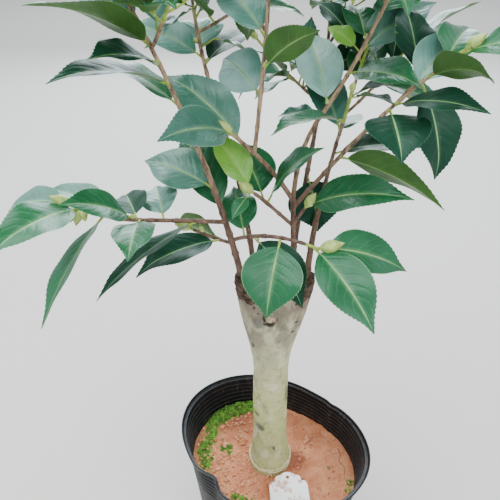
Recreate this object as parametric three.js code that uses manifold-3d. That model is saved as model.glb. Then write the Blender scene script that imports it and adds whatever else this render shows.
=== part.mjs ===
// A grafted camellia shrub in a black nursery pot, in millimetres, +Z up.
// The origin is on the flat underside of the pot, below its middle. -Y is the front of the plant.
// A thick old stem was cut off short, and thin shoots were grafted on the rim of its widened head. Each shoot is
// a bare bough that ends where its mass of foliage begins.
import * as THREE from "three";
import { mergeVertices } from "three/addons/utils/BufferGeometryUtils.js";
import Module from "manifold-3d";

const wasm = await Module();
wasm.setup();

const DEG = Math.PI / 180;
const GAP = 0.3; // between pieces that touch

// Pot and soil
const POT = { height: 190, rim: 102, base: 82, wall: 2, floor: 3, chamfer: 2, middle: 75, sides: 36 };
const LIP = { out: 3.2, height: 6, chamfer: 1.5 };
const OVAL = { share: 0.14, heading: 142, rise: 1.4 }; // the soft rim is pressed out of round
const BULGE = { out: 14, heading: -120, spread: 40 }; // its front stands out, with a narrow fold in it
const FOLD = { depth: 11, heading: -139, spread: 9 };
const RIBS = { count: 5, top: 176, pitch: 10, depth: 1.4 };
const SOIL_LEVEL = 142;
const MOSS = { from: 104, to: 178, width: 22, height: 9, ends: 0.1, rows: 9, sides: 10 };

// Old stem
const STEM = { x: -3, foot: SOIL_LEVEL + GAP, height: 262, radii: [20.2, 19.2], sway: -2 };
const STEM_MESH = { sides: 24, rows: 14, evenness: 0.6 }; // its rows stand closer together at the foot
const FLARE = { out: 4.4, height: 30 };
const HEAD = { width: 40, depth: 27, rise: 112, lobe: 10, dish: 9, waist: 0.16 };
const KNOB = { x: -8, height: 230, length: 11, radii: [6.5, 5.5], heading: -95, rise: 25, sunk: 4 };
const TIE = { height: 14, slope: 4, thickness: 1.4, width: 2.6, sides: 6 };
const TAG = { width: 47, length: 50, thickness: 0.9, x: 17, y: -28, tilt: 11, turn: 4 };
const TAG_TOP = { shoulder: 10, crown: 11, corner: 5, hole: 2.4, holeDown: 6 };

// Limbs, leaves and buds
const BOUGH_SIDES = 8;
const TWIG = { root: 2.1, branch: 1.6, tip: 1.3, step: 16, clearance: 6 };
const PETIOLE = { radius: 1.1, length: 10 };
const LEAF = { thickness: 1.3, fold: 16, sag: -32, clearance: 3, tries: 8, lift: 0.6 };
const BLADE = [
  { share: 0.3, width: 0.88 },
  { share: 0.56, width: 0.98 },
  { share: 0.82, width: 0.5 },
  { share: 1, width: 0 },
];
const RULE = {
  spacing: 19, // between the roots of leaves along a twig
  turn: 137.5, // from one leaf or twig round to the next
  spread: 58, // between a twig and the leaves on it
  droop: 14,
  length: [74, 98],
  slim: [0.4, 0.48], // a leaf's width as a share of its length
  roll: 24,
  wander: 40,
  tipSpread: 0.2, // the last leaf of a twig stands close to its heading, and the next one less so
  nextSpread: 0.7,
  from: 0.25, // the share of a twig where its leaves start
};
const TWIG_RULE = {
  azimuth: 75, // between a mass's stem and its first twig
  stir: 30,
  rise: 32,
  riseStir: 20,
  bow: 14,
  last: 0.9, // the share of the stem where the last twig stands
  longest: 1.15, // of the length that a mass gives its twigs, less at higher places
  shrink: 0.5,
  lengthStir: 0.2,
};
const STIR = { written: 4, ruled: 12 }; // how far a leaf that meets another is turned at each try
const BUD = { length: 19, radius: 5.4, profile: [0.3, 0.9, 1, 0.7, 0], sides: 5, sunk: 2 };

// Boughs. A bough grows from a place on the head, or from a share of another bough's length. It sets out on an
// azimuth and rise in degrees, turns up by bow and round by swing, and tapers between its radii.
const BOUGHS = [
  bough("bough_left", [-33, 1], -158, 79, 168, -9, 6, [4.4, 2.8]),
  bough("bough_left_low", ["bough_left", 0.51], -158, 13, 80, -2, 0, [2.7, 2.2]),
  bough("bough_left_spur", ["bough_left", 0.36], 165, 10, 11, 0, 0, [2.3, 2.1]),
  bough("bough_front", ["bough_left", 0.38], -42, 34, 26, -12, 2, [2.6, 2.2]),
  bough("bough_centre", [22, 5], 148, 78, 100, 8, -50, [3.9, 3]),
  bough("bough_inner", ["bough_centre", 0.7], -152, 46, 40, 0, 0, [2.3, 2.1]),
  bough("bough_right_spur", ["bough_centre", 0.72], -28, 60, 10, 0, 0, [2.3, 2.1]),
  bough("bough_right_high", ["bough_centre", 0.89], -14, 55, 66, -2, -4, [2.9, 2.3]),
  bough("bough_centre_left", ["bough_centre", 0.96], -163, 60, 74, -16, 4, [2.9, 2.4]),
  bough("bough_top_left", ["bough_centre_left", 0.9], 55, 78, 36, 2, 0, [2.5, 2.2]),
  bough("bough_top", ["bough_centre", 1], 70, 80, 84, -28, -56, [2.9, 2.3]),
  bough("bough_right", [29, 1], 70, 82, 94, -22, -10, [4.4, 3]),
  bough("bough_back_left", [-22, 14], 116, 77, 180, -12, 24, [3.6, 2.4]),
  bough("bough_back", [12, 16], 60, 76, 165, -16, 8, [3.8, 2.5]),
];

// Masses of foliage. Each has one stem that grows on from the tip of its bough. Twigs branch from it by rule, and
// so do its leaves from the share of its length where the rule starts. The leaves that are written out stand where
// the plant shows them. One with a roll of 0 turns its face to the light. The rule gives a bare stem no leaf of
// its own. All of a mass keeps within its reach of the middle of its stem.
const MASSES = [
  {
    name: "foliage_left_top",
    bough: "bough_left",
    stem: { length: 200, bow: -14, swing: 30 },
    twigs: { count: 3, from: 0.45, length: 90 },
    rule: { from: 0.66, seed: 5 },
    reach: 190,
    leaves: [
      leaf(0.19, 150, 15, 104, 36, -5),
      leaf(0.29, -126, 12, 116, 38, 10),
      leaf(0.38, -115, 12, 85, 36, 22),
      leaf(0.46, -122, 20, 116, 42, -8),
      leaf(0.54, 144, 18, 78, 38, 32),
    ],
  },
  {
    name: "foliage_left_low",
    bough: "bough_left_low",
    stem: { length: 64, bow: 26, swing: 2 },
    twigs: { count: 0 },
    rule: { from: 1, seed: 2 },
    reach: 130,
    leaves: [
      leaf(0.02, -88, -1, 72, 38, 0),
      leaf(0.06, 111, -1, 64, 36, 0),
      leaf(0.1, -131, 29, 80, 32, 40),
      leaf(0.36, 152, 8, 82, 38, 5),
      leaf(0.52, -110, -28, 112, 34, -30),
      leaf(0.84, -118, 2, 94, 40, 0),
      leaf(1, 158, -14, 76, 36, 15),
    ],
  },
  {
    name: "foliage_left_inner",
    bough: "bough_left_spur",
    stem: { length: 34, bow: 10, swing: 0 },
    twigs: { count: 0 },
    rule: { from: 1, seed: 3, bare: true },
    reach: 130,
    leaves: [
      leaf(0.02, -150, -8, 92, 40, 12),
      leaf(0.3, 126, 49, 100, 40, 0),
      leaf(0.9, -146, -22, 112, 32, -10),
      leaf(1, 138, 38, 84, 44, 0),
    ],
  },
  {
    name: "foliage_front",
    bough: "bough_front",
    stem: { length: 74, bow: -36, swing: 14 },
    twigs: { count: 0 },
    rule: { from: 1, seed: 4, bare: true },
    reach: 120,
    leaves: [
      leaf(0.02, 180, 55, 58, 34, 0),
      leaf(0.06, -40, -42, 82, 44, 0),
      leaf(0.49, -108, -54, 74, 56, 0),
      leaf(0.92, -54, -30, 92, 46, 0),
      leaf(0.97, 8, -20, 92, 44, 0),
    ],
  },
  {
    name: "foliage_centre",
    bough: "bough_inner",
    stem: { length: 26, bow: -6, swing: 0 },
    twigs: { count: 0 },
    rule: { from: 1, seed: 5, bare: true },
    reach: 110,
    leaves: [
      leaf(0.1, -36, 50, 88, 36, 0),
      leaf(0.3, 125, 43, 66, 50, 2),
      leaf(0.95, 132, 36, 68, 32, 0),
      leaf(0.95, -124, -25, 36, 14, 0),
    ],
  },
  {
    name: "foliage_right_low",
    bough: "bough_right_spur",
    stem: { length: 16, bow: 0, swing: 0 },
    twigs: { count: 0 },
    rule: { from: 1, seed: 6, bare: true },
    reach: 130,
    leaves: [leaf(0.9, -34, 18, 110, 42, 0)],
  },
  {
    name: "foliage_right",
    bough: "bough_right_high",
    stem: { length: 138, bow: -12, swing: 0 },
    twigs: { count: 1, from: 0.5, length: 60 },
    rule: { from: 1, seed: 7, bare: true },
    reach: 170,
    leaves: [
      leaf(0.02, -40, -11, 108, 44, 55),
      leaf(0.46, -88, -26, 62, 64, 0),
      leaf(0.5, -55, 8, 92, 30, 0),
      leaf(0.7, -34, -72, 86, 44, -35),
      leaf(0.64, 43, 25, 84, 40, 0),
      leaf(0.75, -75, 11, 88, 34, 40),
      leaf(0.86, 60, 12, 84, 38, 0),
      leaf(0.95, -35, 10, 84, 38, 0),
    ],
  },
  {
    name: "foliage_centre_left",
    bough: "bough_centre_left",
    stem: { length: 24, bow: -4, swing: 0 },
    twigs: { count: 0 },
    rule: { from: 1, seed: 8, bare: true },
    reach: 130,
    leaves: [leaf(0.3, 146, 29, 104, 46, 0), leaf(0.9, -126, 11, 94, 40, 50)],
  },
  {
    name: "foliage_top_left",
    bough: "bough_top_left",
    stem: { length: 165, bow: 6, swing: 10 },
    twigs: { count: 3, from: 0.4, length: 80 },
    rule: { from: 0.6, seed: 9 },
    reach: 170,
    leaves: [leaf(0.08, 128, 12, 76, 44, 45), leaf(0.22, -46, 32, 72, 34, 45), leaf(0.37, 150, 38, 76, 42, 0)],
  },
  {
    name: "foliage_top",
    bough: "bough_top",
    stem: { length: 170, bow: 14, swing: 10 },
    twigs: { count: 3, from: 0.35, length: 85 },
    rule: { from: 0.55, seed: 10 },
    reach: 180,
    leaves: [
      leaf(0.04, 105, 40, 90, 46, 0),
      leaf(0.24, -50, 1, 84, 40, 0),
      leaf(0.28, 54, 14, 70, 38, 0),
      leaf(0.36, 34, 21, 102, 42, 0),
      leaf(0.42, 80, 12, 76, 38, 0),
    ],
  },
  {
    name: "foliage_right_back",
    bough: "bough_right",
    stem: { length: 160, bow: 4, swing: -20 },
    twigs: { count: 5, from: 0.2, length: 95 },
    rule: { from: 0.3, seed: 11 },
    reach: 180,
    leaves: [],
  },
  {
    name: "foliage_back_left",
    bough: "bough_back_left",
    stem: { length: 150, bow: 4, swing: -40 },
    twigs: { count: 4, from: 0.3, length: 100 },
    rule: { from: 0.3, seed: 12 },
    reach: 180,
    leaves: [leaf(0.34, 169, 22, 78, 40, 0), leaf(0.38, 95, 24, 60, 48, 0)],
  },
  {
    name: "foliage_back",
    bough: "bough_back",
    stem: { length: 150, bow: 6, swing: 20 },
    twigs: { count: 5, from: 0.15, length: 95 },
    rule: { from: 0.2, seed: 13 },
    reach: 180,
    leaves: [],
  },
];

const LIGHT = { way: new THREE.Vector3(0, -0.6, 0.8), mostRoll: 35, ruledShare: 0.35 };
// From here the leaves that are written out and the boughs stay in sight: no ruled leaf stands before them.
const VIEW = { eye: new THREE.Vector3(-28, -480, 715), share: 0.97 };

const material = (color, roughness) => new THREE.MeshStandardMaterial({ color, roughness, metalness: 0 });
const FINISH = {
  pot: material(0x17181b, 0.55),
  soil: material(0xa9654a, 0.95),
  moss: material(0x5c8a2c, 0.95),
  stem: material(0x9a9676, 0.85),
  bough: material(0x5a4034, 0.8),
  foliage: material(0x2c5a3e, 0.35),
  tag: material(0xe9e7ea, 0.5),
  tie: material(0xd8d3ac, 0.7),
};

function bough(name, root, azimuth, rise, length, bow, swing, radii) {
  return { name, root, azimuth, rise, length, bow, swing, radii };
}

// A leaf that is written out: its place on the stem, the heading from root to tip, its size, and how far its blade
// is rolled about the midrib.
function leaf(at, azimuth, rise, length, width, roll) {
  return { at, azimuth, rise, length, width, roll };
}

// A stream of numbers from 0 to 1 that is the same on every run.
function seeded(seed) {
  let state = seed >>> 0;
  return () => {
    state = (state + 0x6d2b79f5) >>> 0;
    let t = Math.imul(state ^ (state >>> 15), state | 1);
    t = (t + Math.imul(t ^ (t >>> 7), t | 61)) ^ t;
    return ((t ^ (t >>> 14)) >>> 0) / 4294967296;
  };
}

const mix = (a, b, share) => a + (b - a) * share;

const smooth = (x) => {
  const t = Math.min(1, Math.max(0, x));
  return t * t * (3 - 2 * t);
};

const heading = (azimuth, rise) =>
  new THREE.Vector3(
    Math.cos(azimuth * DEG) * Math.cos(rise * DEG),
    Math.sin(azimuth * DEG) * Math.cos(rise * DEG),
    Math.sin(rise * DEG),
  );

const headingOf = (v) => ({
  azimuth: Math.atan2(v.y, v.x) / DEG,
  rise: Math.atan2(v.z, Math.hypot(v.x, v.y)) / DEG,
});

// Solids

// A closed body swept along rows of points. place(row, x, z) puts a point of the unit circle on that row, and
// (0, 0) is the middle of a flat end. A pointed body comes to its last row's middle.
function sweep(rows, sides, place, pointed = false) {
  const geometry = new THREE.CylinderGeometry(pointed ? 0 : 1, 1, 1, sides, rows);
  const p = geometry.attributes.position;
  for (let i = 0; i < p.count; i++) {
    const row = Math.round((p.getY(i) + 0.5) * rows);
    const radius = Math.hypot(p.getX(i), p.getZ(i));
    const middle = radius < 1e-9;
    const at = place(row, middle ? 0 : p.getX(i) / radius, middle ? 0 : p.getZ(i) / radius);
    p.setXYZ(i, at.x, at.y, at.z);
  }
  return geometry;
}

// The solid inside a closed geometry.
function solidOf(geometry) {
  const bare = geometry.clone();
  bare.deleteAttribute("normal");
  bare.deleteAttribute("uv");
  const merged = mergeVertices(bare, 1e-4);
  const mesh = new wasm.Mesh({
    numProp: 3,
    vertProperties: new Float32Array(merged.attributes.position.array),
    triVerts: new Uint32Array(merged.index.array),
  });
  return new wasm.Manifold(mesh);
}

const joined = (solids) => solids.reduce((all, one) => all.add(one));

// The largest of the pieces that a cut leaves.
const largest = (solid) => solid.decompose().reduce((a, b) => (b.volume() > a.volume() ? b : a));

function meshOf(name, solid, finish) {
  const made = solid.getMesh();
  const geometry = new THREE.BufferGeometry();
  geometry.setAttribute("position", new THREE.BufferAttribute(new Float32Array(made.vertProperties), 3));
  geometry.setIndex(new THREE.BufferAttribute(new Uint32Array(made.triVerts), 1));
  geometry.computeVertexNormals();
  const mesh = new THREE.Mesh(geometry, finish);
  mesh.name = name;
  return mesh;
}

// Pot and soil

const wallRadius = (z) => mix(POT.base, POT.rim, z / POT.height);

// Moves a point of a round pot to where the soft, pressed wall is. The base stays round.
function pressed(x, y, z) {
  const radius = Math.hypot(x, y);
  if (radius < 1e-6) return new THREE.Vector3(x, y, z);
  const angle = Math.atan2(y, x);
  const share = Math.pow(Math.max(0, z) / POT.height, OVAL.rise);
  const oval = OVAL.share * share * Math.cos(2 * (angle - OVAL.heading * DEG));
  const near = ({ heading, spread }) => {
    const away = ((angle / DEG - heading + 540) % 360) - 180;
    return Math.exp(-Math.pow(away / spread, 2));
  };
  const out = BULGE.out * near(BULGE) - FOLD.depth * near(FOLD);
  const k = 1 + oval + (share * share * out) / POT.rim;
  return new THREE.Vector3(x * k, y * k, z);
}

function turned(profile) {
  const geometry = new THREE.LatheGeometry(
    profile.map(([r, z]) => new THREE.Vector2(r, z)),
    POT.sides,
  );
  geometry.rotateX(Math.PI / 2);
  const p = geometry.attributes.position;
  for (let i = 0; i < p.count; i++) {
    const at = pressed(p.getX(i), p.getY(i), p.getZ(i));
    p.setXYZ(i, at.x, at.y, at.z);
  }
  return geometry;
}

// The wall's radius at the ribs, from the lowest up. Each rib steps in over half a pitch, and out again.
function ribs(inset) {
  const points = [];
  for (let i = RIBS.count - 1; i >= 0; i--) {
    const z = RIBS.top - i * RIBS.pitch;
    const low = z - RIBS.pitch / 2;
    points.push([wallRadius(low) - inset, low], [wallRadius(z) - inset - RIBS.depth, z]);
  }
  return points;
}

function pot() {
  const lipBase = POT.height - LIP.height;
  return solidOf(
    turned([
      [0, 0],
      [POT.base - POT.chamfer, 0],
      [wallRadius(POT.chamfer), POT.chamfer],
      [wallRadius(POT.middle), POT.middle],
      ...ribs(0),
      [wallRadius(lipBase), lipBase],
      [wallRadius(lipBase) + LIP.out, lipBase + LIP.chamfer],
      [wallRadius(POT.height) + LIP.out, POT.height],
      [wallRadius(POT.height) - POT.wall, POT.height],
      ...ribs(POT.wall).reverse(),
      [wallRadius(POT.middle) - POT.wall, POT.middle],
      [wallRadius(POT.floor) - POT.wall, POT.floor],
      [0, POT.floor],
    ]),
  );
}

const soilEdge = wallRadius(SOIL_LEVEL) - POT.wall - RIBS.depth - 2 * GAP;

function soil() {
  const low = POT.floor + GAP;
  const inset = POT.wall + RIBS.depth + 2 * GAP;
  return solidOf(
    turned([
      [0, low],
      [wallRadius(low) - inset, low],
      [wallRadius(POT.middle) - inset, POT.middle],
      ribs(inset)[0],
      [soilEdge, SOIL_LEVEL],
      [0, SOIL_LEVEL],
    ]),
  );
}

// A low cushion of moss that follows the wall behind the stem, on the left.
function moss() {
  const body = sweep(MOSS.rows, MOSS.sides, (row, x, z) => {
    const share = row / MOSS.rows;
    const thick = Math.sin(Math.PI * mix(MOSS.ends, 1 - MOSS.ends, share));
    const radius = soilEdge - MOSS.width / 2 + (MOSS.width / 2 - 1) * thick * x;
    const angle = mix(MOSS.from, MOSS.to, share) * DEG;
    return pressed(radius * Math.cos(angle), radius * Math.sin(angle), SOIL_LEVEL + MOSS.height * thick * z);
  });
  const above = new THREE.BoxGeometry(3 * POT.rim, 3 * POT.rim, POT.height);
  above.translate(0, 0, SOIL_LEVEL + GAP + POT.height / 2);
  return solidOf(body).intersect(solidOf(above));
}

// Old stem

// Half width and half depth of the stem at a height above the soil, and how far it has widened into the head.
function stemSize(height) {
  const bare = mix(...STEM.radii, height / (STEM.height - HEAD.rise));
  const flared = bare + FLARE.out * Math.exp(-Math.pow(height / FLARE.height, 2));
  const head = smooth((height - STEM.height + HEAD.rise) / HEAD.rise);
  return { width: mix(flared, HEAD.width, head), depth: mix(flared, HEAD.depth, head), head };
}

const stemMiddle = (height) => STEM.sway * Math.sin((Math.PI * height) / STEM.height);

// A point of the stem's surface. x and z are on the unit circle, and grow stands the point off the surface.
function stemPoint(row, x, z, grow) {
  const share = row / STEM_MESH.rows;
  const height = STEM.height * mix(share * share, share, STEM_MESH.evenness);
  const size = stemSize(height);
  const waist = 1 - HEAD.waist * size.head * (1 - x * x);
  const top = row === STEM_MESH.rows;
  const middle = x === 0 && z === 0;
  const lobe = size.head * size.head * (middle ? -HEAD.dish : HEAD.lobe * x * x);
  const lift = middle && !top ? 0 : lobe;
  const ends = top ? grow : row === 0 ? -grow : 0;
  return new THREE.Vector3(
    STEM.x + stemMiddle(height) + x * (size.width + grow),
    -z * (size.depth * waist + grow),
    STEM.foot + height + lift + ends,
  );
}

function stem(grow = 0) {
  const body = solidOf(sweep(STEM_MESH.rows, STEM_MESH.sides, (row, x, z) => stemPoint(row, x, z, grow)));
  const size = stemSize(KNOB.height);
  const front = size.depth * (1 - HEAD.waist * size.head) - KNOB.sunk;
  const root = new THREE.Vector3(KNOB.x, -front, STEM.foot + KNOB.height);
  const knob = limb(root, KNOB.heading, KNOB.rise, KNOB.length, 0, 0, KNOB.radii);
  return body.add(limbSolid(knob, BOUGH_SIDES, grow));
}

// The old stem as plain limbs side by side, for finding what comes too near it.
function stemLimbs() {
  return [-1, 0, 1].map((side) => {
    const heights = [0.5, 0.75, 0.9, 1].map((share) => share * STEM.height);
    const points = heights.map((h) => {
      const size = stemSize(h);
      return new THREE.Vector3(STEM.x + stemMiddle(h) + side * (size.width - size.depth), 0, STEM.foot + h);
    });
    return { points, radii: heights.map((h) => stemSize(h).depth) };
  });
}

// A cord tied round the foot of the stem, as one flat ring.
function tie() {
  const plain = 10; // radius of the ring before it is shaped
  const geometry = new THREE.TorusGeometry(plain, 1, TIE.sides, STEM_MESH.sides);
  const p = geometry.attributes.position;
  for (let i = 0; i < p.count; i++) {
    const angle = Math.atan2(p.getY(i), p.getX(i));
    const out = Math.hypot(p.getX(i), p.getY(i)) - plain;
    const height = TIE.height + TIE.slope * Math.sin(angle) + (p.getZ(i) * TIE.width) / 2;
    const radius = stemSize(height).width + 2 * GAP + ((1 + out) * TIE.thickness) / 2;
    const x = STEM.x + stemMiddle(height) + radius * Math.cos(angle);
    p.setXYZ(i, x, radius * Math.sin(angle), STEM.foot + height);
  }
  return solidOf(geometry);
}

// A blank plant tag with a stepped round top and a hole. It lies on the soil, and its top is raised by the stem's
// foot.
function tag() {
  const half = TAG.width / 2;
  const { shoulder, crown, corner } = TAG_TOP;
  const outline = new THREE.Shape();
  outline.moveTo(-half, -TAG.length);
  outline.lineTo(half, -TAG.length);
  outline.absarc(half - corner, -shoulder - corner, corner, 0, Math.PI / 2);
  outline.absarc(0, -crown, crown, 0, Math.PI);
  outline.absarc(corner - half, -shoulder - corner, corner, Math.PI / 2, Math.PI);
  outline.closePath();
  const hole = new THREE.Path();
  hole.absarc(0, -TAG_TOP.holeDown, TAG_TOP.hole, 0, 2 * Math.PI, true);
  outline.holes.push(hole);
  const geometry = new THREE.ExtrudeGeometry(outline, {
    depth: TAG.thickness,
    bevelEnabled: false,
    curveSegments: 8,
  });
  geometry.rotateX(TAG.tilt * DEG);
  geometry.rotateZ(TAG.turn * DEG);
  geometry.computeBoundingBox();
  geometry.translate(TAG.x, TAG.y, SOIL_LEVEL + GAP - geometry.boundingBox.min.z);
  return solidOf(geometry);
}

// Limbs

// A limb sets out on a heading and bends evenly up by bow and round by swing, in degrees, as it tapers.
function limb(start, azimuth, rise, length, bow, swing, [from, to]) {
  const steps = Math.max(2, Math.ceil(length / TWIG.step));
  const points = [start.clone()];
  for (let i = 0; i < steps; i++) {
    const share = (i + 0.5) / steps;
    const step = heading(azimuth + swing * share, rise + bow * share).multiplyScalar(length / steps);
    points.push(points[i].clone().add(step));
  }
  return { points, radii: points.map((_, i) => mix(from, to, i / steps)), length };
}

function limbSolid({ points, radii }, sides, grow = 0) {
  const frames = points.map((_, i) => {
    const ahead = points[Math.min(points.length - 1, i + 1)];
    const tangent = ahead.clone().sub(points[Math.max(0, i - 1)]).normalize();
    const side = new THREE.Vector3(-tangent.z, 0, tangent.x).normalize();
    return { side, up: new THREE.Vector3().crossVectors(side, tangent) };
  });
  return solidOf(
    sweep(points.length - 1, sides, (row, x, z) =>
      points[row]
        .clone()
        .addScaledVector(frames[row].side, x * (radii[row] + grow))
        .addScaledVector(frames[row].up, z * (radii[row] + grow)),
    ),
  );
}

// The point at a share of a limb's length, and the limb's heading there.
function along({ points }, share) {
  const place = share * (points.length - 1);
  const i = Math.min(points.length - 2, Math.floor(place));
  const point = points[i].clone().lerp(points[i + 1], place - i);
  return { point, ...headingOf(points[i + 1].clone().sub(points[i])) };
}

const nearest = (point, a, b) => {
  const ab = b.clone().sub(a);
  const t = Math.min(1, Math.max(0, point.clone().sub(a).dot(ab) / ab.lengthSq()));
  return point.distanceTo(ab.multiplyScalar(t).add(a));
};

const limbsClear = (points, limbs) =>
  limbs.every((other) =>
    other.points
      .slice(1)
      .every((b, i) => points.every((p) => nearest(p, other.points[i], b) > other.radii[i] + TWIG.clearance)),
  );

// Leaves and buds

// The rows of a leaf, from its root in the twig to its tip. Each has the middle of the leaf there, the directions
// to its side and out of its face, its half width and how far its halves are folded up.
function leafRows({ root, azimuth, rise, length, width, roll }) {
  const blade = length - PETIOLE.length;
  const rows = [
    { arc: 0, half: PETIOLE.radius, fold: 0 },
    { arc: PETIOLE.length, half: PETIOLE.radius, fold: 0 },
    ...BLADE.map((b) => ({ arc: PETIOLE.length + b.share * blade, half: (b.width * width) / 2, fold: LEAF.fold })),
  ];
  const riseAt = (arc) => rise + LEAF.sag * (arc / length - 0.5);
  let middle = root;
  let last = 0;
  for (const row of rows) {
    middle = middle.clone().addScaledVector(heading(azimuth, riseAt((row.arc + last) / 2)), row.arc - last);
    const tangent = heading(azimuth, riseAt(row.arc));
    const face = heading(azimuth, riseAt(row.arc) + 90);
    const side = new THREE.Vector3().crossVectors(tangent, face);
    const turn = roll * DEG * Math.min(1, row.arc / PETIOLE.length);
    row.middle = middle;
    row.side = side.clone().multiplyScalar(Math.cos(turn)).addScaledVector(face, Math.sin(turn));
    row.face = face.clone().multiplyScalar(Math.cos(turn)).addScaledVector(side, -Math.sin(turn));
    last = row.arc;
  }
  return rows;
}

// A point of a leaf's row: across is -1 or 1 at its edges and 0 on its midrib.
const leafPoint = ({ middle, side, face, half, fold }, across, thick = 0) =>
  middle
    .clone()
    .addScaledVector(side, across * half * Math.cos(fold * DEG))
    .addScaledVector(face, Math.abs(across) * half * Math.sin(fold * DEG) + thick);

function leafSolid(spec) {
  const rows = leafRows(spec);
  const tip = rows.length - 1;
  const place = (row, x, z) => {
    const thick = row < 2 ? PETIOLE.radius : LEAF.thickness / 2;
    return leafPoint(rows[row], Math.round(x), row === tip ? 0 : Math.round(z) * thick);
  };
  return solidOf(sweep(tip, 4, place, true));
}

// The thin surface of a leaf's blade: its edges, its triangles and spots on it, for finding what it meets.
function leafSurface(spec, owner) {
  const [stalk, ...blade] = leafRows(spec);
  const rows = blade.map((row) => [-1, 0, 1].map((across) => leafPoint(row, across)));
  const edges = [];
  const faces = [];
  for (let i = 0; i + 1 < rows.length; i++) {
    const [a, b] = [rows[i], rows[i + 1]];
    for (const k of [0, 1, 2]) edges.push([a[k], b[k]]);
    for (const k of [0, 1]) {
      edges.push([b[k], b[k + 1]]);
      faces.push([a[k], a[k + 1], b[k + 1]], [a[k], b[k + 1], b[k]]);
    }
  }
  const spots = edges.flatMap(([a, b]) => [b, a.clone().lerp(b, 0.5)]);
  const root = stalk.middle;
  const petiole = [root, blade[0].middle];
  const box = new THREE.Box3().setFromPoints([root, ...rows.flat()]);
  return { edges, faces, spots, petiole, owner, box, root };
}

function pierces([a, b], [p, q, r]) {
  const ray = b.clone().sub(a);
  const u = q.clone().sub(p);
  const v = r.clone().sub(p);
  const h = ray.clone().cross(v);
  const det = u.dot(h);
  if (Math.abs(det) < 1e-9) return false;
  const s = a.clone().sub(p);
  const m = s.dot(h) / det;
  const w = s.cross(u);
  const n = ray.dot(w) / det;
  const t = v.dot(w) / det;
  return m >= 0 && n >= 0 && m + n <= 1 && t >= 0 && t <= 1;
}

function leavesMeet(one, other) {
  if (!one.box.clone().expandByScalar(LEAF.clearance).intersectsBox(other.box)) return false;
  if (one.edges.some((e) => other.faces.some((f) => pierces(e, f)))) return true;
  if (other.edges.some((e) => one.faces.some((f) => pierces(e, f)))) return true;
  if (one.owner !== other.owner && (petioleMeets(one, other) || petioleMeets(other, one))) return true;
  return one.spots.some((s) => other.spots.some((o) => s.distanceTo(o) < LEAF.clearance));
}

// Whether a leaf's petiole comes too near another's blade or petiole.
function petioleMeets(one, other) {
  if (other.faces.some((f) => pierces(one.petiole, f))) return true;
  return [...other.petiole, ...other.spots].some((s) => nearest(s, ...one.petiole) < LEAF.clearance);
}

// Whether a leaf comes too near a limb. A bough, and a twig of its own mass, may be near the leaf's root.
function meetsLimb(surface, { points, radii, owner }) {
  const foreign = owner && owner !== surface.owner;
  const spots = foreign ? [...surface.spots, ...surface.petiole] : surface.spots;
  return points.slice(1).some((b, i) => {
    const a = points[i];
    if (!foreign && nearest(surface.root, a, b) < PETIOLE.length) return false;
    if (surface.faces.some((f) => pierces([a, b], f))) return true;
    return spots.some((s) => nearest(s, a, b) < radii[i] + LEAF.clearance);
  });
}

function budSolid({ point, azimuth, rise }) {
  const rows = BUD.profile.length - 1;
  const tangent = heading(azimuth, rise);
  const side = heading(azimuth + 90, 0);
  const up = new THREE.Vector3().crossVectors(side, tangent);
  const place = (row, x, z) =>
    point
      .clone()
      .addScaledVector(tangent, BUD.length * (row / rows) - BUD.sunk)
      .addScaledVector(side, x * BUD.radius * BUD.profile[row])
      .addScaledVector(up, z * BUD.radius * BUD.profile[row]);
  return solidOf(sweep(rows, BUD.sides, place, true));
}

// The bud at the end of a stem as a plain limb, for finding what comes too near it.
function budLimb(main) {
  const { point, azimuth, rise } = along(main, 1);
  const end = point.clone().addScaledVector(heading(azimuth, rise), BUD.length);
  return { points: [point, end], radii: [BUD.radius, BUD.radius], owner: main.owner };
}

// Growing

function growBoughs() {
  const grown = {};
  for (const b of BOUGHS) {
    const [on, at] = b.root;
    let start = new THREE.Vector3(on, at, STEM.foot + STEM.height - HEAD.lobe);
    if (grown[on]) {
      const parent = along(grown[on].limb, at);
      start = parent.point;
      if (at === 1) start.addScaledVector(heading(parent.azimuth, parent.rise), GAP);
    }
    const shape = limb(start, b.azimuth, b.rise, b.length, b.bow, b.swing, b.radii);
    grown[b.name] = { limb: shape, solid: limbSolid(shape, BOUGH_SIDES), hull: limbSolid(shape, BOUGH_SIDES, GAP) };
  }
  return grown;
}

// Cuts each bough clear of the old stem and of the boughs that it grows from or beside.
function cutBoughs(grown) {
  const before = [stem(GAP)];
  return Object.entries(grown).map(([name, b]) => {
    const cut = largest(before.reduce((solid, other) => solid.subtract(other), b.solid));
    before.push(b.hull);
    return meshOf(name, cut, FINISH.bough);
  });
}

// The stem of a mass, which grows on from its bough.
function growMain(mass, grown) {
  const tip = along(grown[mass.bough].limb, 1);
  const start = tip.point.clone().addScaledVector(heading(tip.azimuth, tip.rise), GAP);
  const { length, bow, swing } = mass.stem;
  return { ...limb(start, tip.azimuth, tip.rise, length, bow, swing, [TWIG.root, TWIG.tip]), owner: mass.name };
}

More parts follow.
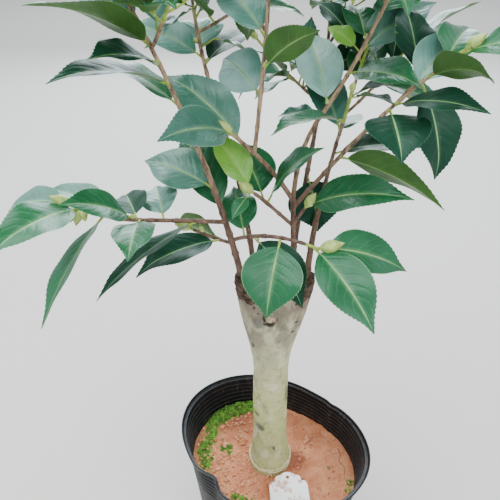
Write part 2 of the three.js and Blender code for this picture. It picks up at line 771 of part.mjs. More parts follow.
// The twigs that branch from a mass's stem by rule. One that would touch a limb or a leaf is skipped.
function ruleTwigs({ count, from, length }, main, random, limbs, placed) {
  const twigs = [];
  for (let i = 0; i < count; i++) {
    const [turn, tilt, size] = [random() - 0.5, random() - 0.5, random() - 0.5];
    const at = mix(from, TWIG_RULE.last, i / Math.max(1, count - 1));
    const root = along(main, at);
    const azimuth = root.azimuth + TWIG_RULE.azimuth + RULE.turn * i + TWIG_RULE.stir * turn;
    const rise = TWIG_RULE.rise + TWIG_RULE.riseStir * tilt;
    const reach = length * (TWIG_RULE.longest - TWIG_RULE.shrink * at + TWIG_RULE.lengthStir * size);
    const shape = limb(root.point, azimuth, rise, reach, TWIG_RULE.bow, 0, [TWIG.branch, TWIG.tip]);
    const twig = { ...shape, owner: main.owner };
    if (!limbsClear(twig.points.slice(1), limbs) || placed.some((leaf) => meetsLimb(leaf, twig))) continue;
    twigs.push(twig);
    limbs.push(twig);
  }
  return twigs;
}

// How far a leaf rolls to turn its face to the light.
function lightRoll(azimuth, rise) {
  const face = heading(azimuth, rise + 90);
  const side = new THREE.Vector3().crossVectors(heading(azimuth, rise), face);
  const roll = -Math.atan2(side.dot(LIGHT.way), face.dot(LIGHT.way)) / DEG;
  return Math.min(LIGHT.mostRoll, Math.max(-LIGHT.mostRoll, roll));
}

// The lines by which the leaves that stand and the boughs are seen.
function sightLines(placed, grown) {
  const ends = placed.flatMap((leaf) => leaf.edges.map(([, end]) => end));
  ends.push(...Object.values(grown).flatMap((b) => b.limb.points));
  return ends.map((end) => {
    const near = VIEW.eye.clone().lerp(end, VIEW.share);
    return { edge: [VIEW.eye, near], ray: new THREE.Ray(VIEW.eye, near.clone().sub(VIEW.eye).normalize()) };
  });
}

const hides = (surface, { edge, ray }) =>
  ray.intersectsBox(surface.box) && surface.faces.some((face) => pierces(edge, face));

// The leaves that the rule gives a twig: one after another round it, closer to its heading towards its tip.
function ruleLeaves(twig, from, random) {
  const count = Math.floor((twig.length * (1 - from)) / RULE.spacing);
  const leaves = [];
  for (let i = 0; i <= count; i++) {
    const at = mix(1, from, i / Math.max(1, count));
    const root = along(twig, at);
    const spread = (i === 0 ? RULE.tipSpread : mix(RULE.nextSpread, 1, i / count)) * RULE.spread;
    const round = (RULE.turn * i + RULE.wander * random()) * DEG;
    const tangent = heading(root.azimuth, root.rise);
    const up = heading(root.azimuth, root.rise + 90);
    const side = new THREE.Vector3().crossVectors(tangent, up);
    const out = side.multiplyScalar(Math.cos(round)).addScaledVector(up, Math.sin(round));
    const way = tangent.multiplyScalar(Math.cos(spread * DEG)).addScaledVector(out, Math.sin(spread * DEG));
    const aim = headingOf(way);
    const length = mix(...RULE.length, random());
    const width = length * mix(...RULE.slim, random());
    const rise = aim.rise - RULE.droop;
    const roll = RULE.roll * (2 * random() - 1) + LIGHT.ruledShare * lightRoll(aim.azimuth, rise);
    leaves.push({ root: root.point, azimuth: aim.azimuth, rise, length, width, roll });
  }
  return leaves;
}

// Turns a leaf a little further at each try until it stands clear, or leaves it out.
function settle(spec, stir, { placed, limbs, mass, inReach }, sights = []) {
  for (let i = 0; i < LEAF.tries; i++) {
    const turn = (i % 2 ? 1 : -1) * Math.ceil(i / 2) * stir;
    const lift = (i % 3 ? LEAF.lift : -LEAF.lift) * Math.abs(turn);
    const moved = { ...spec, azimuth: spec.azimuth + turn, rise: spec.rise + lift };
    const surface = leafSurface(moved, mass.name);
    const clear = !sights.some((s) => hides(surface, s)) && !placed.some((other) => leavesMeet(surface, other));
    if (clear && !limbs.some((l) => meetsLimb(surface, l)) && surface.spots.every(inReach)) {
      placed.push(surface);
      return [moved];
    }
  }
  return [];
}

function growMasses(grown) {
  const limbs = [...stemLimbs(), ...Object.values(grown).map((b) => b.limb)];
  const placed = [];
  const masses = MASSES.map((mass) => {
    const main = growMain(mass, grown);
    const middle = along(main, 0.5).point;
    limbs.push(main, budLimb(main));
    return { mass, main, placed, limbs, inReach: (spot) => spot.distanceTo(middle) < mass.reach };
  });
  for (const m of masses) {
    m.leaves = m.mass.leaves.flatMap((spec) => {
      const roll = spec.roll || lightRoll(spec.azimuth, spec.rise);
      const written = { ...spec, roll, root: along(m.main, spec.at).point };
      return settle(written, STIR.written, m);
    });
  }
  const sights = sightLines(placed, grown);
  for (const m of masses) {
    const random = seeded(m.mass.rule.seed);
    m.twigs = [m.main, ...ruleTwigs(m.mass.twigs, m.main, random, limbs, placed)];
    m.twigs.forEach((twig, i) => {
      if (!i && m.mass.rule.bare) return;
      for (const spec of ruleLeaves(twig, i ? RULE.from : m.mass.rule.from, random)) {
        m.leaves.push(...settle(spec, STIR.ruled, m, sights));
      }
    });
  }
  return masses.map(({ mass, main, twigs, leaves }) => {
    const wood = twigs.map((twig) => limbSolid(twig, 3));
    const solids = [...wood, budSolid(along(main, 1)), ...leaves.map(leafSolid)];
    return meshOf(mass.name, joined(solids), FINISH.foliage);
  });
}

const boughs = growBoughs();
const plant = new THREE.Group();
plant.add(
  meshOf("pot", pot(), FINISH.pot),
  meshOf("soil", soil(), FINISH.soil),
  meshOf("moss", moss(), FINISH.moss),
  meshOf("stem", stem(), FINISH.stem),
  meshOf("tag", tag(), FINISH.tag),
  meshOf("tie", tie(), FINISH.tie),
  ...cutBoughs(boughs),
  ...growMasses(boughs),
);

export default plant;
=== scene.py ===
"""A grafted camellia shrub in a soft black nursery pot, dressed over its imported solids.

The growing rule works in millimetres and degrees, as in the part's source. Meshes are built in metres.
"""
import logging
import math
from contextlib import contextmanager
from dataclasses import dataclass, field
from enum import Enum
from typing import Callable, Iterator, Optional, Sequence

import bpy
import numpy as np
from mathutils import Matrix, Vector, noise


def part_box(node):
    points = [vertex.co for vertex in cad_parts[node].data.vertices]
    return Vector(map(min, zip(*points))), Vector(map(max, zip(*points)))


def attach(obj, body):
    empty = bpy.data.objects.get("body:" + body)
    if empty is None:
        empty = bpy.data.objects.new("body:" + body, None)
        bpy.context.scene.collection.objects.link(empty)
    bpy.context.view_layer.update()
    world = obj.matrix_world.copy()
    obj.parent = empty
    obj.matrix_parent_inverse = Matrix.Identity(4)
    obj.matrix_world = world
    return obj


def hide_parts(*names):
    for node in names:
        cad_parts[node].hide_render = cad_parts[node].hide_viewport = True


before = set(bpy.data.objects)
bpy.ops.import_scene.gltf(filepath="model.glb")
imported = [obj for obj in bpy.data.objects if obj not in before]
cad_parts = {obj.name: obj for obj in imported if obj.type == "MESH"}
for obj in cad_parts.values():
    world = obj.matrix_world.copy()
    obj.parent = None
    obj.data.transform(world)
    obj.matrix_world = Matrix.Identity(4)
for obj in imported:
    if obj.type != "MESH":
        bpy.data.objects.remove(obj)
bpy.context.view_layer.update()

logging.basicConfig(level=logging.INFO, format="%(message)s")
LOG = logging.getLogger("camellia")

MM = 0.001
DEG = math.pi / 180
GAP = 0.3
Array = np.ndarray
Piece = bpy.types.Object
Material = bpy.types.Material
Socket = bpy.types.NodeSocket


class Tint(Enum):
    """The colours that leaves are dealt out in."""

    MATURE = 0
    DEEP = 1
    BLUE = 2
    YOUNG = 3
    # A paler copy of the leaf colour, which stands in partly for the sky's sheen on leaves that face it.
    PALE = 4


# The growing rule, as in the part's source


@dataclass(frozen=True)
class TwigSizes:
    """A twig's radii, the steps that it grows in and the room that it needs."""

    root: float = 2.1
    branch: float = 1.6
    tip: float = 1.3
    step: float = 16.0
    clearance: float = 6.0


@dataclass(frozen=True)
class LeafSizes:
    """A leaf's petiole, fold and sag, the room that it needs, and how it turns to find it."""

    petiole: float = 10.0
    petiole_radius: float = 1.1
    fold: float = 16.0
    sag: float = -32.0
    clearance: float = 3.0
    near: float = 1.5
    tries: int = 8
    lift: float = 0.6
    stir_written: float = 4.0
    stir_ruled: float = 12.0


@dataclass(frozen=True)
class RowRule:
    """How leaves follow each other round a twig."""

    spacing: float = 19.0
    turn: float = 137.5
    spread: float = 58.0
    droop: float = 14.0
    length: tuple = (74.0, 98.0)
    slim: tuple = (0.4, 0.48)
    roll: float = 24.0
    wander: float = 40.0
    tip_spread: float = 0.2
    next_spread: float = 0.7
    start: float = 0.25
    tints: tuple = (Tint.MATURE, Tint.DEEP, Tint.MATURE, Tint.BLUE)


@dataclass(frozen=True)
class BranchRule:
    """How twigs branch from a mass's stem."""

    azimuth: float = 75.0
    stir: float = 30.0
    rise: float = 32.0
    rise_stir: float = 20.0
    bow: float = 14.0
    last: float = 0.9
    longest: float = 1.15
    shrink: float = 0.5
    length_stir: float = 0.2


@dataclass(frozen=True)
class ShootRule:
    """How fine side shoots with a few small leaves stand on the twigs. The solids leave these out."""

    spacing: float = 26.0
    span: tuple = (0.2, 0.92)
    turn: tuple = (40, 320)
    length: tuple = (12, 24)
    rise: tuple = (15, 50)
    bow: float = 12.0
    radii: tuple = (1.1, 0.8)
    young: float = 0.1
    tints: tuple = (Tint.MATURE, Tint.DEEP, Tint.BLUE)
    leaf_turns: tuple = (-38, 42, 0)
    leaf_stir: tuple = (-10, 10)
    leaf_rise: tuple = (0, 32)
    leaf_length: tuple = (44, 66)
    young_length: tuple = (34, 44)
    end_share: float = 0.9
    slim: tuple = (0.42, 0.48)
    roll: tuple = (-20, 20)


@dataclass(frozen=True)
class BudSizes:
    """A full bud's length and radius."""

    length: float = 19.0
    radius: float = 5.4


SOIL_LEVEL = 142.0


@dataclass(frozen=True)
class StemSizes:
    """The old stem: its column, the flare at its foot and the head that it widens into."""

    x: float = -3.0
    foot: float = SOIL_LEVEL + GAP
    height: float = 262.0
    radii: tuple = (20.2, 19.2)
    sway: float = -2.0
    flare: float = 4.4
    flare_height: float = 30.0
    head_width: float = 40.0
    head_depth: float = 27.0
    head_rise: float = 112.0
    lobe: float = 10.0
    dish: float = 9.0
    waist: float = 0.16

    def size(self, height: float) -> tuple[float, float, float]:
        """Give the stem's half width, half depth and how far it has widened into its head.

        Args:
            height: A height above its foot.

        Returns:
            The half width, the half depth and a share from 0 to 1.
        """
        bare = mix(*self.radii, height / (self.height - self.head_rise))
        flared = bare + self.flare * math.exp(-((height / self.flare_height) ** 2))
        head = smooth((height - self.height + self.head_rise) / self.head_rise)
        return mix(flared, self.head_width, head), mix(flared, self.head_depth, head), head

    def middle(self, height: float) -> float:
        """Give how far the stem leans to the side at a height."""
        return self.sway * math.sin(math.pi * height / self.height)


TWIG, LEAF, ROW, BRANCH, SHOOT = TwigSizes(), LeafSizes(), RowRule(), BranchRule(), ShootRule()
BUD, STEM = BudSizes(), StemSizes()
BLADE = ((0.3, 0.88), (0.56, 0.98), (0.82, 0.5), (1.0, 0.0))
LIGHT = np.array([0.0, -0.6, 0.8])
MOST_ROLL = 35.0
RULED_ROLL = 0.35
BARK_SHARE = 0.82
VIEWPOINT = np.array([-28.0, -480.0, 715.0])
SIGHT_SHARE = 0.97


@dataclass(frozen=True)
class BoughPlan:
    """A bough: the place that it grows from, its first heading, its length, its bend and its radii."""

    name: str
    root: tuple
    azimuth: float
    rise: float
    length: float
    bow: float
    swing: float
    radii: tuple[float, float]


@dataclass(frozen=True)
class LeafPlan:
    """A leaf that the plant shows: its place on the stem, its heading, its size, its roll and its colour."""

    at: float
    azimuth: float
    rise: float
    length: float
    width: float
    roll: float = 0.0
    tint: Tint = Tint.MATURE
    on: str = ""


@dataclass(frozen=True)
class BudPlan:
    """A bud that the plant shows: its place on the stem, its heading and its size."""

    at: float
    azimuth: float
    rise: float
    size: float


@dataclass(frozen=True)
class MassPlan:
    """A mass of foliage: its bough, its stem, its twigs, its rule and the leaves and buds that show.

    A leaf roots on the mass's stem, or on the bough that it names. The rule gives a bare stem no leaf of its
    own.
    """

    name: str
    bough: str
    stem: tuple[float, float, float]
    twigs: tuple[int, float, float]
    start: float
    seed: int
    reach: float
    leaves: tuple[LeafPlan, ...] = ()
    buds: tuple[BudPlan, ...] = ()
    bare: bool = False


BOUGHS = (
    BoughPlan("bough_left", (-33, 1), -158, 79, 168, -9, 6, (4.4, 2.8)),
    BoughPlan("bough_left_low", ("bough_left", 0.51), -158, 13, 80, -2, 0, (2.7, 2.2)),
    BoughPlan("bough_left_spur", ("bough_left", 0.36), 165, 10, 11, 0, 0, (2.3, 2.1)),
    BoughPlan("bough_front", ("bough_left", 0.38), -42, 34, 26, -12, 2, (2.6, 2.2)),
    BoughPlan("bough_centre", (22, 5), 148, 78, 100, 8, -50, (3.9, 3)),
    BoughPlan("bough_inner", ("bough_centre", 0.7), -152, 46, 40, 0, 0, (2.3, 2.1)),
    BoughPlan("bough_right_spur", ("bough_centre", 0.72), -28, 60, 10, 0, 0, (2.3, 2.1)),
    BoughPlan("bough_right_high", ("bough_centre", 0.89), -14, 55, 66, -2, -4, (2.9, 2.3)),
    BoughPlan("bough_centre_left", ("bough_centre", 0.96), -163, 60, 74, -16, 4, (2.9, 2.4)),
    BoughPlan("bough_top_left", ("bough_centre_left", 0.9), 55, 78, 36, 2, 0, (2.5, 2.2)),
    BoughPlan("bough_top", ("bough_centre", 1), 70, 80, 84, -28, -56, (2.9, 2.3)),
    BoughPlan("bough_right", (29, 1), 70, 82, 94, -22, -10, (4.4, 3)),
    BoughPlan("bough_back_left", (-22, 14), 116, 77, 180, -12, 24, (3.6, 2.4)),
    BoughPlan("bough_back", (12, 16), 60, 76, 165, -16, 8, (3.8, 2.5)),
)

L = LeafPlan
MASSES = (
    MassPlan("foliage_left_top", "bough_left", (200, -14, 30), (3, 0.45, 90), 0.66, 5, 190, (
        L(0.19, 150, 15, 104, 36, -5), L(0.29, -126, 12, 116, 38, 10, Tint.DEEP),
        L(0.38, -115, 12, 85, 36, 22, Tint.DEEP), L(0.46, -122, 20, 116, 42, -8),
        L(0.54, 144, 18, 78, 38, 32, Tint.PALE))),
    MassPlan("foliage_left_low", "bough_left_low", (64, 26, 2), (0, 0, 0), 1, 2, 130, (
        L(0.02, -88, -1, 72, 38), L(0.06, 111, -1, 64, 36, 0, Tint.DEEP), L(0.1, -131, 29, 80, 32, 40),
        L(0.36, 152, 8, 82, 38, 5, Tint.BLUE), L(0.52, -110, -28, 112, 34, -30), L(0.84, -118, 2, 94, 40),
        L(1, 158, -14, 76, 36, 15, Tint.BLUE), L(0.75, 104, 7, 62, 38, 15, Tint.BLUE, "bough_left_low")),
        (BudPlan(0.86, -100, -48, 0.8), BudPlan(0.84, -60, -30, 0.7), BudPlan(0.9, -150, -60, 0.75))),
    MassPlan("foliage_left_inner", "bough_left_spur", (34, 10, 0), (0, 0, 0), 1, 3, 130, (
        L(0.02, -150, -8, 92, 40, 12, Tint.DEEP), L(0.57, 126, 37, 98, 42, 0, Tint.MATURE, "bough_left"),
        L(0.35, -129, -14, 118, 32, -12, Tint.DEEP, "bough_left_low"),
        L(0.73, 148, 8, 84, 46, 0, Tint.BLUE, "bough_left"),
        L(0.9, 142, -1, 64, 40, -60, Tint.MATURE, "bough_left_spur")),
        (BudPlan(0.55, 120, 50, 0.55),), bare=True),
    MassPlan("foliage_front", "bough_front", (74, -36, 14), (0, 0, 0), 1, 4, 120, (
        L(0.75, 102, 28, 62, 36, 0, Tint.MATURE, "bough_front"), L(0.06, -40, -42, 82, 44, 0, Tint.DEEP),
        L(0.49, -108, -54, 74, 56), L(0.92, -54, -30, 92, 46), L(0.97, 8, -20, 92, 44),
        L(0.7, -68, -60, 60, 58, 0, Tint.DEEP, "bough_back")),
        (BudPlan(1, -8, 20, 1.15),), bare=True),
    MassPlan("foliage_centre", "bough_inner", (26, -6, 0), (0, 0, 0), 1, 5, 110, (
        L(0.1, -36, 50, 88, 36), L(0.3, 125, 43, 66, 50, 2), L(0.95, 132, 36, 68, 32, 0, Tint.YOUNG),
        L(0.95, -124, -25, 36, 14)), bare=True),
    MassPlan("foliage_right_low", "bough_right_spur", (16, 0, 0), (0, 0, 0), 1, 6, 130, (
        L(0.9, -34, 18, 110, 42),), bare=True),
    MassPlan("foliage_right", "bough_right_high", (138, -12, 0), (1, 0.5, 60), 1, 7, 170, (
        L(0.02, -40, -11, 108, 44, 55), L(0.46, -88, -26, 62, 56, 0, Tint.DEEP),
        L(0.5, -55, 8, 92, 30, 0, Tint.DEEP), L(0.7, -34, -72, 86, 44, -35, Tint.DEEP),
        L(0.64, 43, 25, 84, 40, 0, Tint.PALE), L(0.75, -75, 11, 88, 34, 40), L(0.86, 60, 12, 84, 38),
        L(0.95, -35, 10, 84, 38)), bare=True),
    MassPlan("foliage_centre_left", "bough_centre_left", (24, -4, 0), (0, 0, 0), 1, 8, 130, (
        L(0.3, 146, 29, 104, 46, 0, Tint.BLUE), L(0.9, -126, 11, 94, 40, 50, Tint.BLUE)), bare=True),
    MassPlan("foliage_top_left", "bough_top_left", (165, 6, 10), (3, 0.4, 80), 0.6, 9, 170, (
        L(0.08, 128, 12, 76, 44, 45, Tint.PALE), L(0.22, -46, 32, 72, 34, 45),
        L(0.37, 150, 38, 76, 42, 0, Tint.PALE))),
    MassPlan("foliage_top", "bough_top", (170, 14, 10), (3, 0.35, 85), 0.55, 10, 180, (
        L(0.04, 105, 40, 90, 46, 0, Tint.PALE), L(0.24, -50, 1, 84, 40),
        L(0.28, 54, 14, 70, 38, 0, Tint.BLUE), L(0.36, 34, 21, 102, 42, 0, Tint.BLUE),
        L(0.42, 80, 12, 76, 38), L(0.36, 150, 30, 40, 22, 0, Tint.YOUNG))),
    MassPlan("foliage_right_back", "bough_right", (160, 4, -20), (5, 0.2, 95), 0.3, 11, 180),
    MassPlan("foliage_back_left", "bough_back_left", (150, 4, -40), (4, 0.3, 100), 0.3, 12, 180, (
        L(0.34, 169, 22, 78, 40, 0, Tint.PALE), L(0.38, 95, 24, 60, 48, 0, Tint.PALE))),
    MassPlan("foliage_back", "bough_back", (150, 6, 20), (5, 0.15, 95), 0.2, 13, 180),
)


class Stream:
    """Numbers from 0 to 1 that are the same on every run."""

    MASK = 0xFFFFFFFF

    def __init__(self, seed: int) -> None:
        """Start the stream from a seed."""
        self.state = seed

    def __call__(self) -> float:
        """Give the next number.

        Returns:
            A number from 0 to 1.
        """
        self.state = (self.state + 0x6D2B79F5) & self.MASK
        t = ((self.state ^ (self.state >> 15)) * (self.state | 1)) & self.MASK
        t = (t + (((t ^ (t >> 7)) * (t | 61)) & self.MASK) & self.MASK) ^ t
        return ((t ^ (t >> 14)) & self.MASK) / 4294967296

    def between(self, low: float, high: float) -> float:
        """Give the next number, between two limits."""
        return low + (high - low) * self()


def mix(a: float, b: float, share: float) -> float:
    """Blend two numbers."""
    return a + (b - a) * share


def smooth(x: float) -> float:
    """Ease from 0 to 1."""
    t = min(1.0, max(0.0, x))
    return t * t * (3 - 2 * t)


def heading(azimuth: float, rise: float) -> Array:
    """Give the direction of an azimuth and a rise in degrees."""
    a, r = azimuth * DEG, rise * DEG
    return np.array([math.cos(a) * math.cos(r), math.sin(a) * math.cos(r), math.sin(r)])


def heading_of(v: Array) -> tuple[float, float]:
    """Give the azimuth and rise of a direction."""
    return math.atan2(v[1], v[0]) / DEG, math.atan2(v[2], math.hypot(v[0], v[1])) / DEG


def light_roll(azimuth: float, rise: float) -> float:
    """Give how far a leaf of a heading rolls to turn its face to the light, in degrees.

    Args:
        azimuth: The leaf's azimuth in degrees.
        rise: Its rise in degrees.

    Returns:
        An angle in degrees.
    """
    side = np.cross(heading(azimuth, rise), heading(azimuth, rise + 90))
    roll = -math.atan2(side.dot(LIGHT), heading(azimuth, rise + 90).dot(LIGHT)) / DEG
    return min(MOST_ROLL, max(-MOST_ROLL, roll))


@dataclass
class Limb:
    """A tapering limb as a row of points with their radii."""

    points: Array
    radii: Array
    length: float
    owner: str = ""

    def at(self, share: float) -> tuple[Array, float, float]:
        """Give the point, azimuth and rise at a share of the length.

        Args:
            share: The share, from 0 at the root to 1 at the tip.

        Returns:
            The point, the azimuth and the rise.
        """
        place = share * (len(self.points) - 1)
        i = min(len(self.points) - 2, int(place))
        step = self.points[i + 1] - self.points[i]
        return self.points[i] + step * (place - i), *heading_of(step)


def grow_limb(start: Array, azimuth: float, rise: float, length: float, bow: float, swing: float,
              radii: tuple[float, float], owner: str = "") -> Limb:
    """Grow a limb that bends evenly up and round as it tapers.

    Args:
        start: The first point.
        azimuth: The first azimuth in degrees.
        rise: The first rise in degrees.
        length: The length along the limb.
        bow: How far it turns up.
        swing: How far it turns round.
        radii: The radii at its root and its tip.
        owner: The mass that it belongs to.

    Returns:
        The limb.
    """
    steps = max(2, math.ceil(length / TWIG.step))
    points = [np.array(start, float)]
    for i in range(steps):
        share = (i + 0.5) / steps
        points.append(points[-1] + heading(azimuth + swing * share, rise + bow * share) * (length / steps))
    return Limb(np.array(points), np.linspace(radii[0], radii[1], steps + 1), length, owner)


@dataclass
class Leaf:
    """A leaf in its place: its root, heading, size, roll and colour."""

    root: Array
    azimuth: float
    rise: float
    length: float
    width: float
    roll: float
    tint: Tint = Tint.MATURE
    written: bool = False
    owner: str = ""

    def frames(self, arcs: Sequence[float], sag: float = LEAF.sag) -> tuple[Array, Array, Array]:
        """Follow the leaf's bent midrib.

        Args:
            arcs: Places along the midrib, in millimetres from the root.
            sag: How far the leaf bends down along its length, in degrees.

        Returns:
            The middles, the directions to the side and the directions out of the face at those places.
        """
        middles, sides, faces = [], [], []
        middle, last = self.root, 0.0
        for arc in arcs:
            half_way = self.rise + sag * ((arc + last) / 2 / self.length - 0.5)
            middle = middle + heading(self.azimuth, half_way) * (arc - last)
            rise = self.rise + sag * (arc / self.length - 0.5)
            tangent, face = heading(self.azimuth, rise), heading(self.azimuth, rise + 90)
            side = np.cross(tangent, face)
            turn = self.roll * DEG * min(1.0, arc / LEAF.petiole)
            middles.append(middle)
            sides.append(side * math.cos(turn) + face * math.sin(turn))
            faces.append(face * math.cos(turn) - side * math.sin(turn))
            last = arc
        return np.array(middles), np.array(sides), np.array(faces)


class Surface:
    """The thin surface of a leaf's blade, for finding what it meets."""

    def __init__(self, leaf: Leaf) -> None:
        """Work out the edges, triangles and spots of a leaf.

        Args:
            leaf: The leaf.
        """
        blade = leaf.length - LEAF.petiole
        shares = [LEAF.petiole] + [LEAF.petiole + share * blade for share, _ in BLADE]
        halves = [LEAF.petiole_radius] + [wide * leaf.width / 2 for _, wide in BLADE]
        folds = [0.0] + [LEAF.fold * DEG] * len(BLADE)
        middles, sides, faces = leaf.frames([0.0, *shares])
        rows = []
        for middle, side, face, half, fold in zip(middles[1:], sides[1:], faces[1:], halves, folds):
            cos, sin = math.cos(fold), math.sin(fold)
            rows.append([middle + side * across * half * cos + face * abs(across) * half * sin
                         for across in (-1, 0, 1)])
        grid = np.array(rows)
        edges, faces_ = [], []
        for a, b in zip(grid[:-1], grid[1:]):
            edges += [(a[k], b[k]) for k in range(3)]
            for k in range(2):
                edges.append((b[k], b[k + 1]))
                faces_ += [(a[k], a[k + 1], b[k + 1]), (a[k], b[k + 1], b[k])]
        self.edges = np.array(edges)
        self.faces = np.array(faces_)
        self.spots = np.concatenate([self.edges[:, 1], self.edges.mean(axis=1)])
        self.root = leaf.root
        self.petiole = np.array([leaf.root, grid[0][1]])
        self.owner = leaf.owner
        cloud = np.concatenate([grid.reshape(-1, 3), [leaf.root]])
        self.low, self.high = cloud.min(axis=0), cloud.max(axis=0)


def pierces(edges: Array, faces: Array) -> bool:
    """Tell whether any of some edges passes through any of some triangles.

    Args:
        edges: The edges, two points each.
        faces: The triangles, three points each.

    Returns:
        Whether one does.
    """
    a, ray = edges[:, None, 0], (edges[:, 1] - edges[:, 0])[:, None]
    p = faces[None, :, 0]
    u, v = (faces[:, 1] - faces[:, 0])[None], (faces[:, 2] - faces[:, 0])[None]
    h = np.cross(ray, v)
    det = (u * h).sum(-1)
    good = np.abs(det) > 1e-9
    det = np.where(good, det, 1.0)
    s = a - p
    m = (s * h).sum(-1) / det
    w = np.cross(s, np.broadcast_to(u, s.shape))
    n = (ray * w).sum(-1) / det
    t = (v * w).sum(-1) / det
    return bool(np.any(good & (m >= 0) & (n >= 0) & (m + n <= 1) & (t >= 0) & (t <= 1)))


def distances(points: Array, a: Array, b: Array) -> Array:
    """Give the distances of points (n) from segments (m) as an array (n, m).

    Args:
        points: The points.
        a: The segments' first ends.
        b: Their second ends.

    Returns:
        The distances.
    """
    ab = b - a
    t = ((points[:, None] - a[None]) * ab[None]).sum(-1) / np.maximum((ab * ab).sum(-1), 1e-12)
    foot = a[None] + ab[None] * np.clip(t, 0, 1)[..., None]
    return np.linalg.norm(points[:, None] - foot, axis=-1)


class Thicket:
    """The limbs and leaves that already stand, for keeping new ones clear of them."""

    def __init__(self) -> None:
        """Start with nothing."""
        self.limbs: list[Limb] = []
        self.leaves: list[Surface] = []
        self.room = LEAF.clearance
        self.sights = np.zeros((0, 2, 3))

    def keep_sight(self, points: Array) -> None:
        """Keep the lines clear by which the photo shows some points.

        Args:
            points: The points.
        """
        ends = VIEWPOINT + (points - VIEWPOINT) * SIGHT_SHARE
        lines = np.stack([np.broadcast_to(VIEWPOINT, ends.shape), ends], axis=1)
        self.sights = np.concatenate([self.sights, lines])

    def limbs_clear(self, points: Array) -> bool:
        """Tell whether points of a new twig keep clear of all limbs."""
        return all((distances(points, limb.points[:-1], limb.points[1:])
                    > limb.radii[:-1] + TWIG.clearance).all() for limb in self.limbs)

    def meets_limb(self, leaf: Surface, limb: Limb) -> bool:
        """Tell whether a leaf comes too near a limb, away from the leaf's own root.

        Args:
            leaf: The leaf's surface.
            limb: The limb.

        Returns:
            Whether it does.
        """
        a, b, radii = limb.points[:-1], limb.points[1:], limb.radii[:-1]
        foreign = bool(limb.owner) and limb.owner != leaf.owner
        reach = float(radii.max()) + self.room
        low, high = limb.points.min(axis=0) - reach, limb.points.max(axis=0) + reach
        if (high < leaf.low).any() or (low > leaf.high).any():
            return False
        spots = leaf.spots
        if foreign:
            spots = np.concatenate([leaf.spots, leaf.petiole])
        else:
            keep = distances(leaf.root[None], a, b)[0] >= LEAF.petiole
            a, b, radii = a[keep], b[keep], radii[keep]
            if not len(a):
                return False
        if pierces(np.stack([a, b], axis=1), leaf.faces):
            return True
        return bool((distances(spots, a, b) < radii + self.room).any())

    def leaves_meet(self, one: Surface, other: Surface) -> bool:
        """Tell whether two leaves touch or nearly touch.

        Args:
            one: A leaf.
            other: Another leaf.

        Returns:
            Whether they do.
        """
        room = self.room
        if (one.low - room > other.high).any() or (other.low - room > one.high).any():
            return False
        if pierces(one.edges, other.faces) or pierces(other.edges, one.faces):
            return True
        if one.owner != other.owner and (self.petiole_meets(one, other) or self.petiole_meets(other, one)):
            return True
        gaps = np.linalg.norm(one.spots[:, None] - other.spots[None], axis=-1)
        return bool((gaps < room).any())

    def petiole_meets(self, one: Surface, other: Surface) -> bool:
        """Tell whether one leaf's petiole comes too near another leaf.

        Args:
            one: The leaf with the petiole.
            other: The other leaf.

        Returns:
            Whether it does.
        """
        if pierces(one.petiole[None], other.faces):
            return True
        spots = np.concatenate([other.petiole, other.spots])
        return bool((distances(spots, one.petiole[:1], one.petiole[1:]) < self.room).any())

    def settle(self, leaf: Leaf, stir: float, in_reach: Callable[[Array], bool]) -> list[Leaf]:
        """Turn a leaf a little further at each try until it stands clear.

        Args:
            leaf: The leaf as it is wanted.
            stir: How far it is turned at each try, in degrees.
            in_reach: Tells whether points are within the mass's own space.

        Returns:
            The leaf where it stands, or nothing.
        """
        for i in range(LEAF.tries):
            turn = (1 if i % 2 else -1) * math.ceil(i / 2) * stir
            lift = (LEAF.lift if i % 3 else -LEAF.lift) * abs(turn)
            moved = Leaf(leaf.root, leaf.azimuth + turn, leaf.rise + lift, leaf.length, leaf.width, leaf.roll,
                         leaf.tint, leaf.written, leaf.owner)
            surface = Surface(moved)
            if not leaf.written and pierces(self.sights, surface.faces):
                continue
            if any(self.leaves_meet(surface, other) for other in self.leaves):
                continue
            if any(self.meets_limb(surface, limb) for limb in self.limbs) or not in_reach(surface.spots):
                continue
            self.leaves.append(surface)
            return [moved]
        return []


@dataclass
class Mass:
    """A mass of foliage as it grows: its stem, twigs and leaves."""

    plan: MassPlan
    main: Limb
    middle: Array
    twigs: list[Limb] = field(default_factory=list)
    leaves: list[Leaf] = field(default_factory=list)

    def in_reach(self, points: Array) -> bool:
        """Tell whether points lie within the mass's space."""
        return bool((np.linalg.norm(points - self.middle, axis=-1) < self.plan.reach).all())


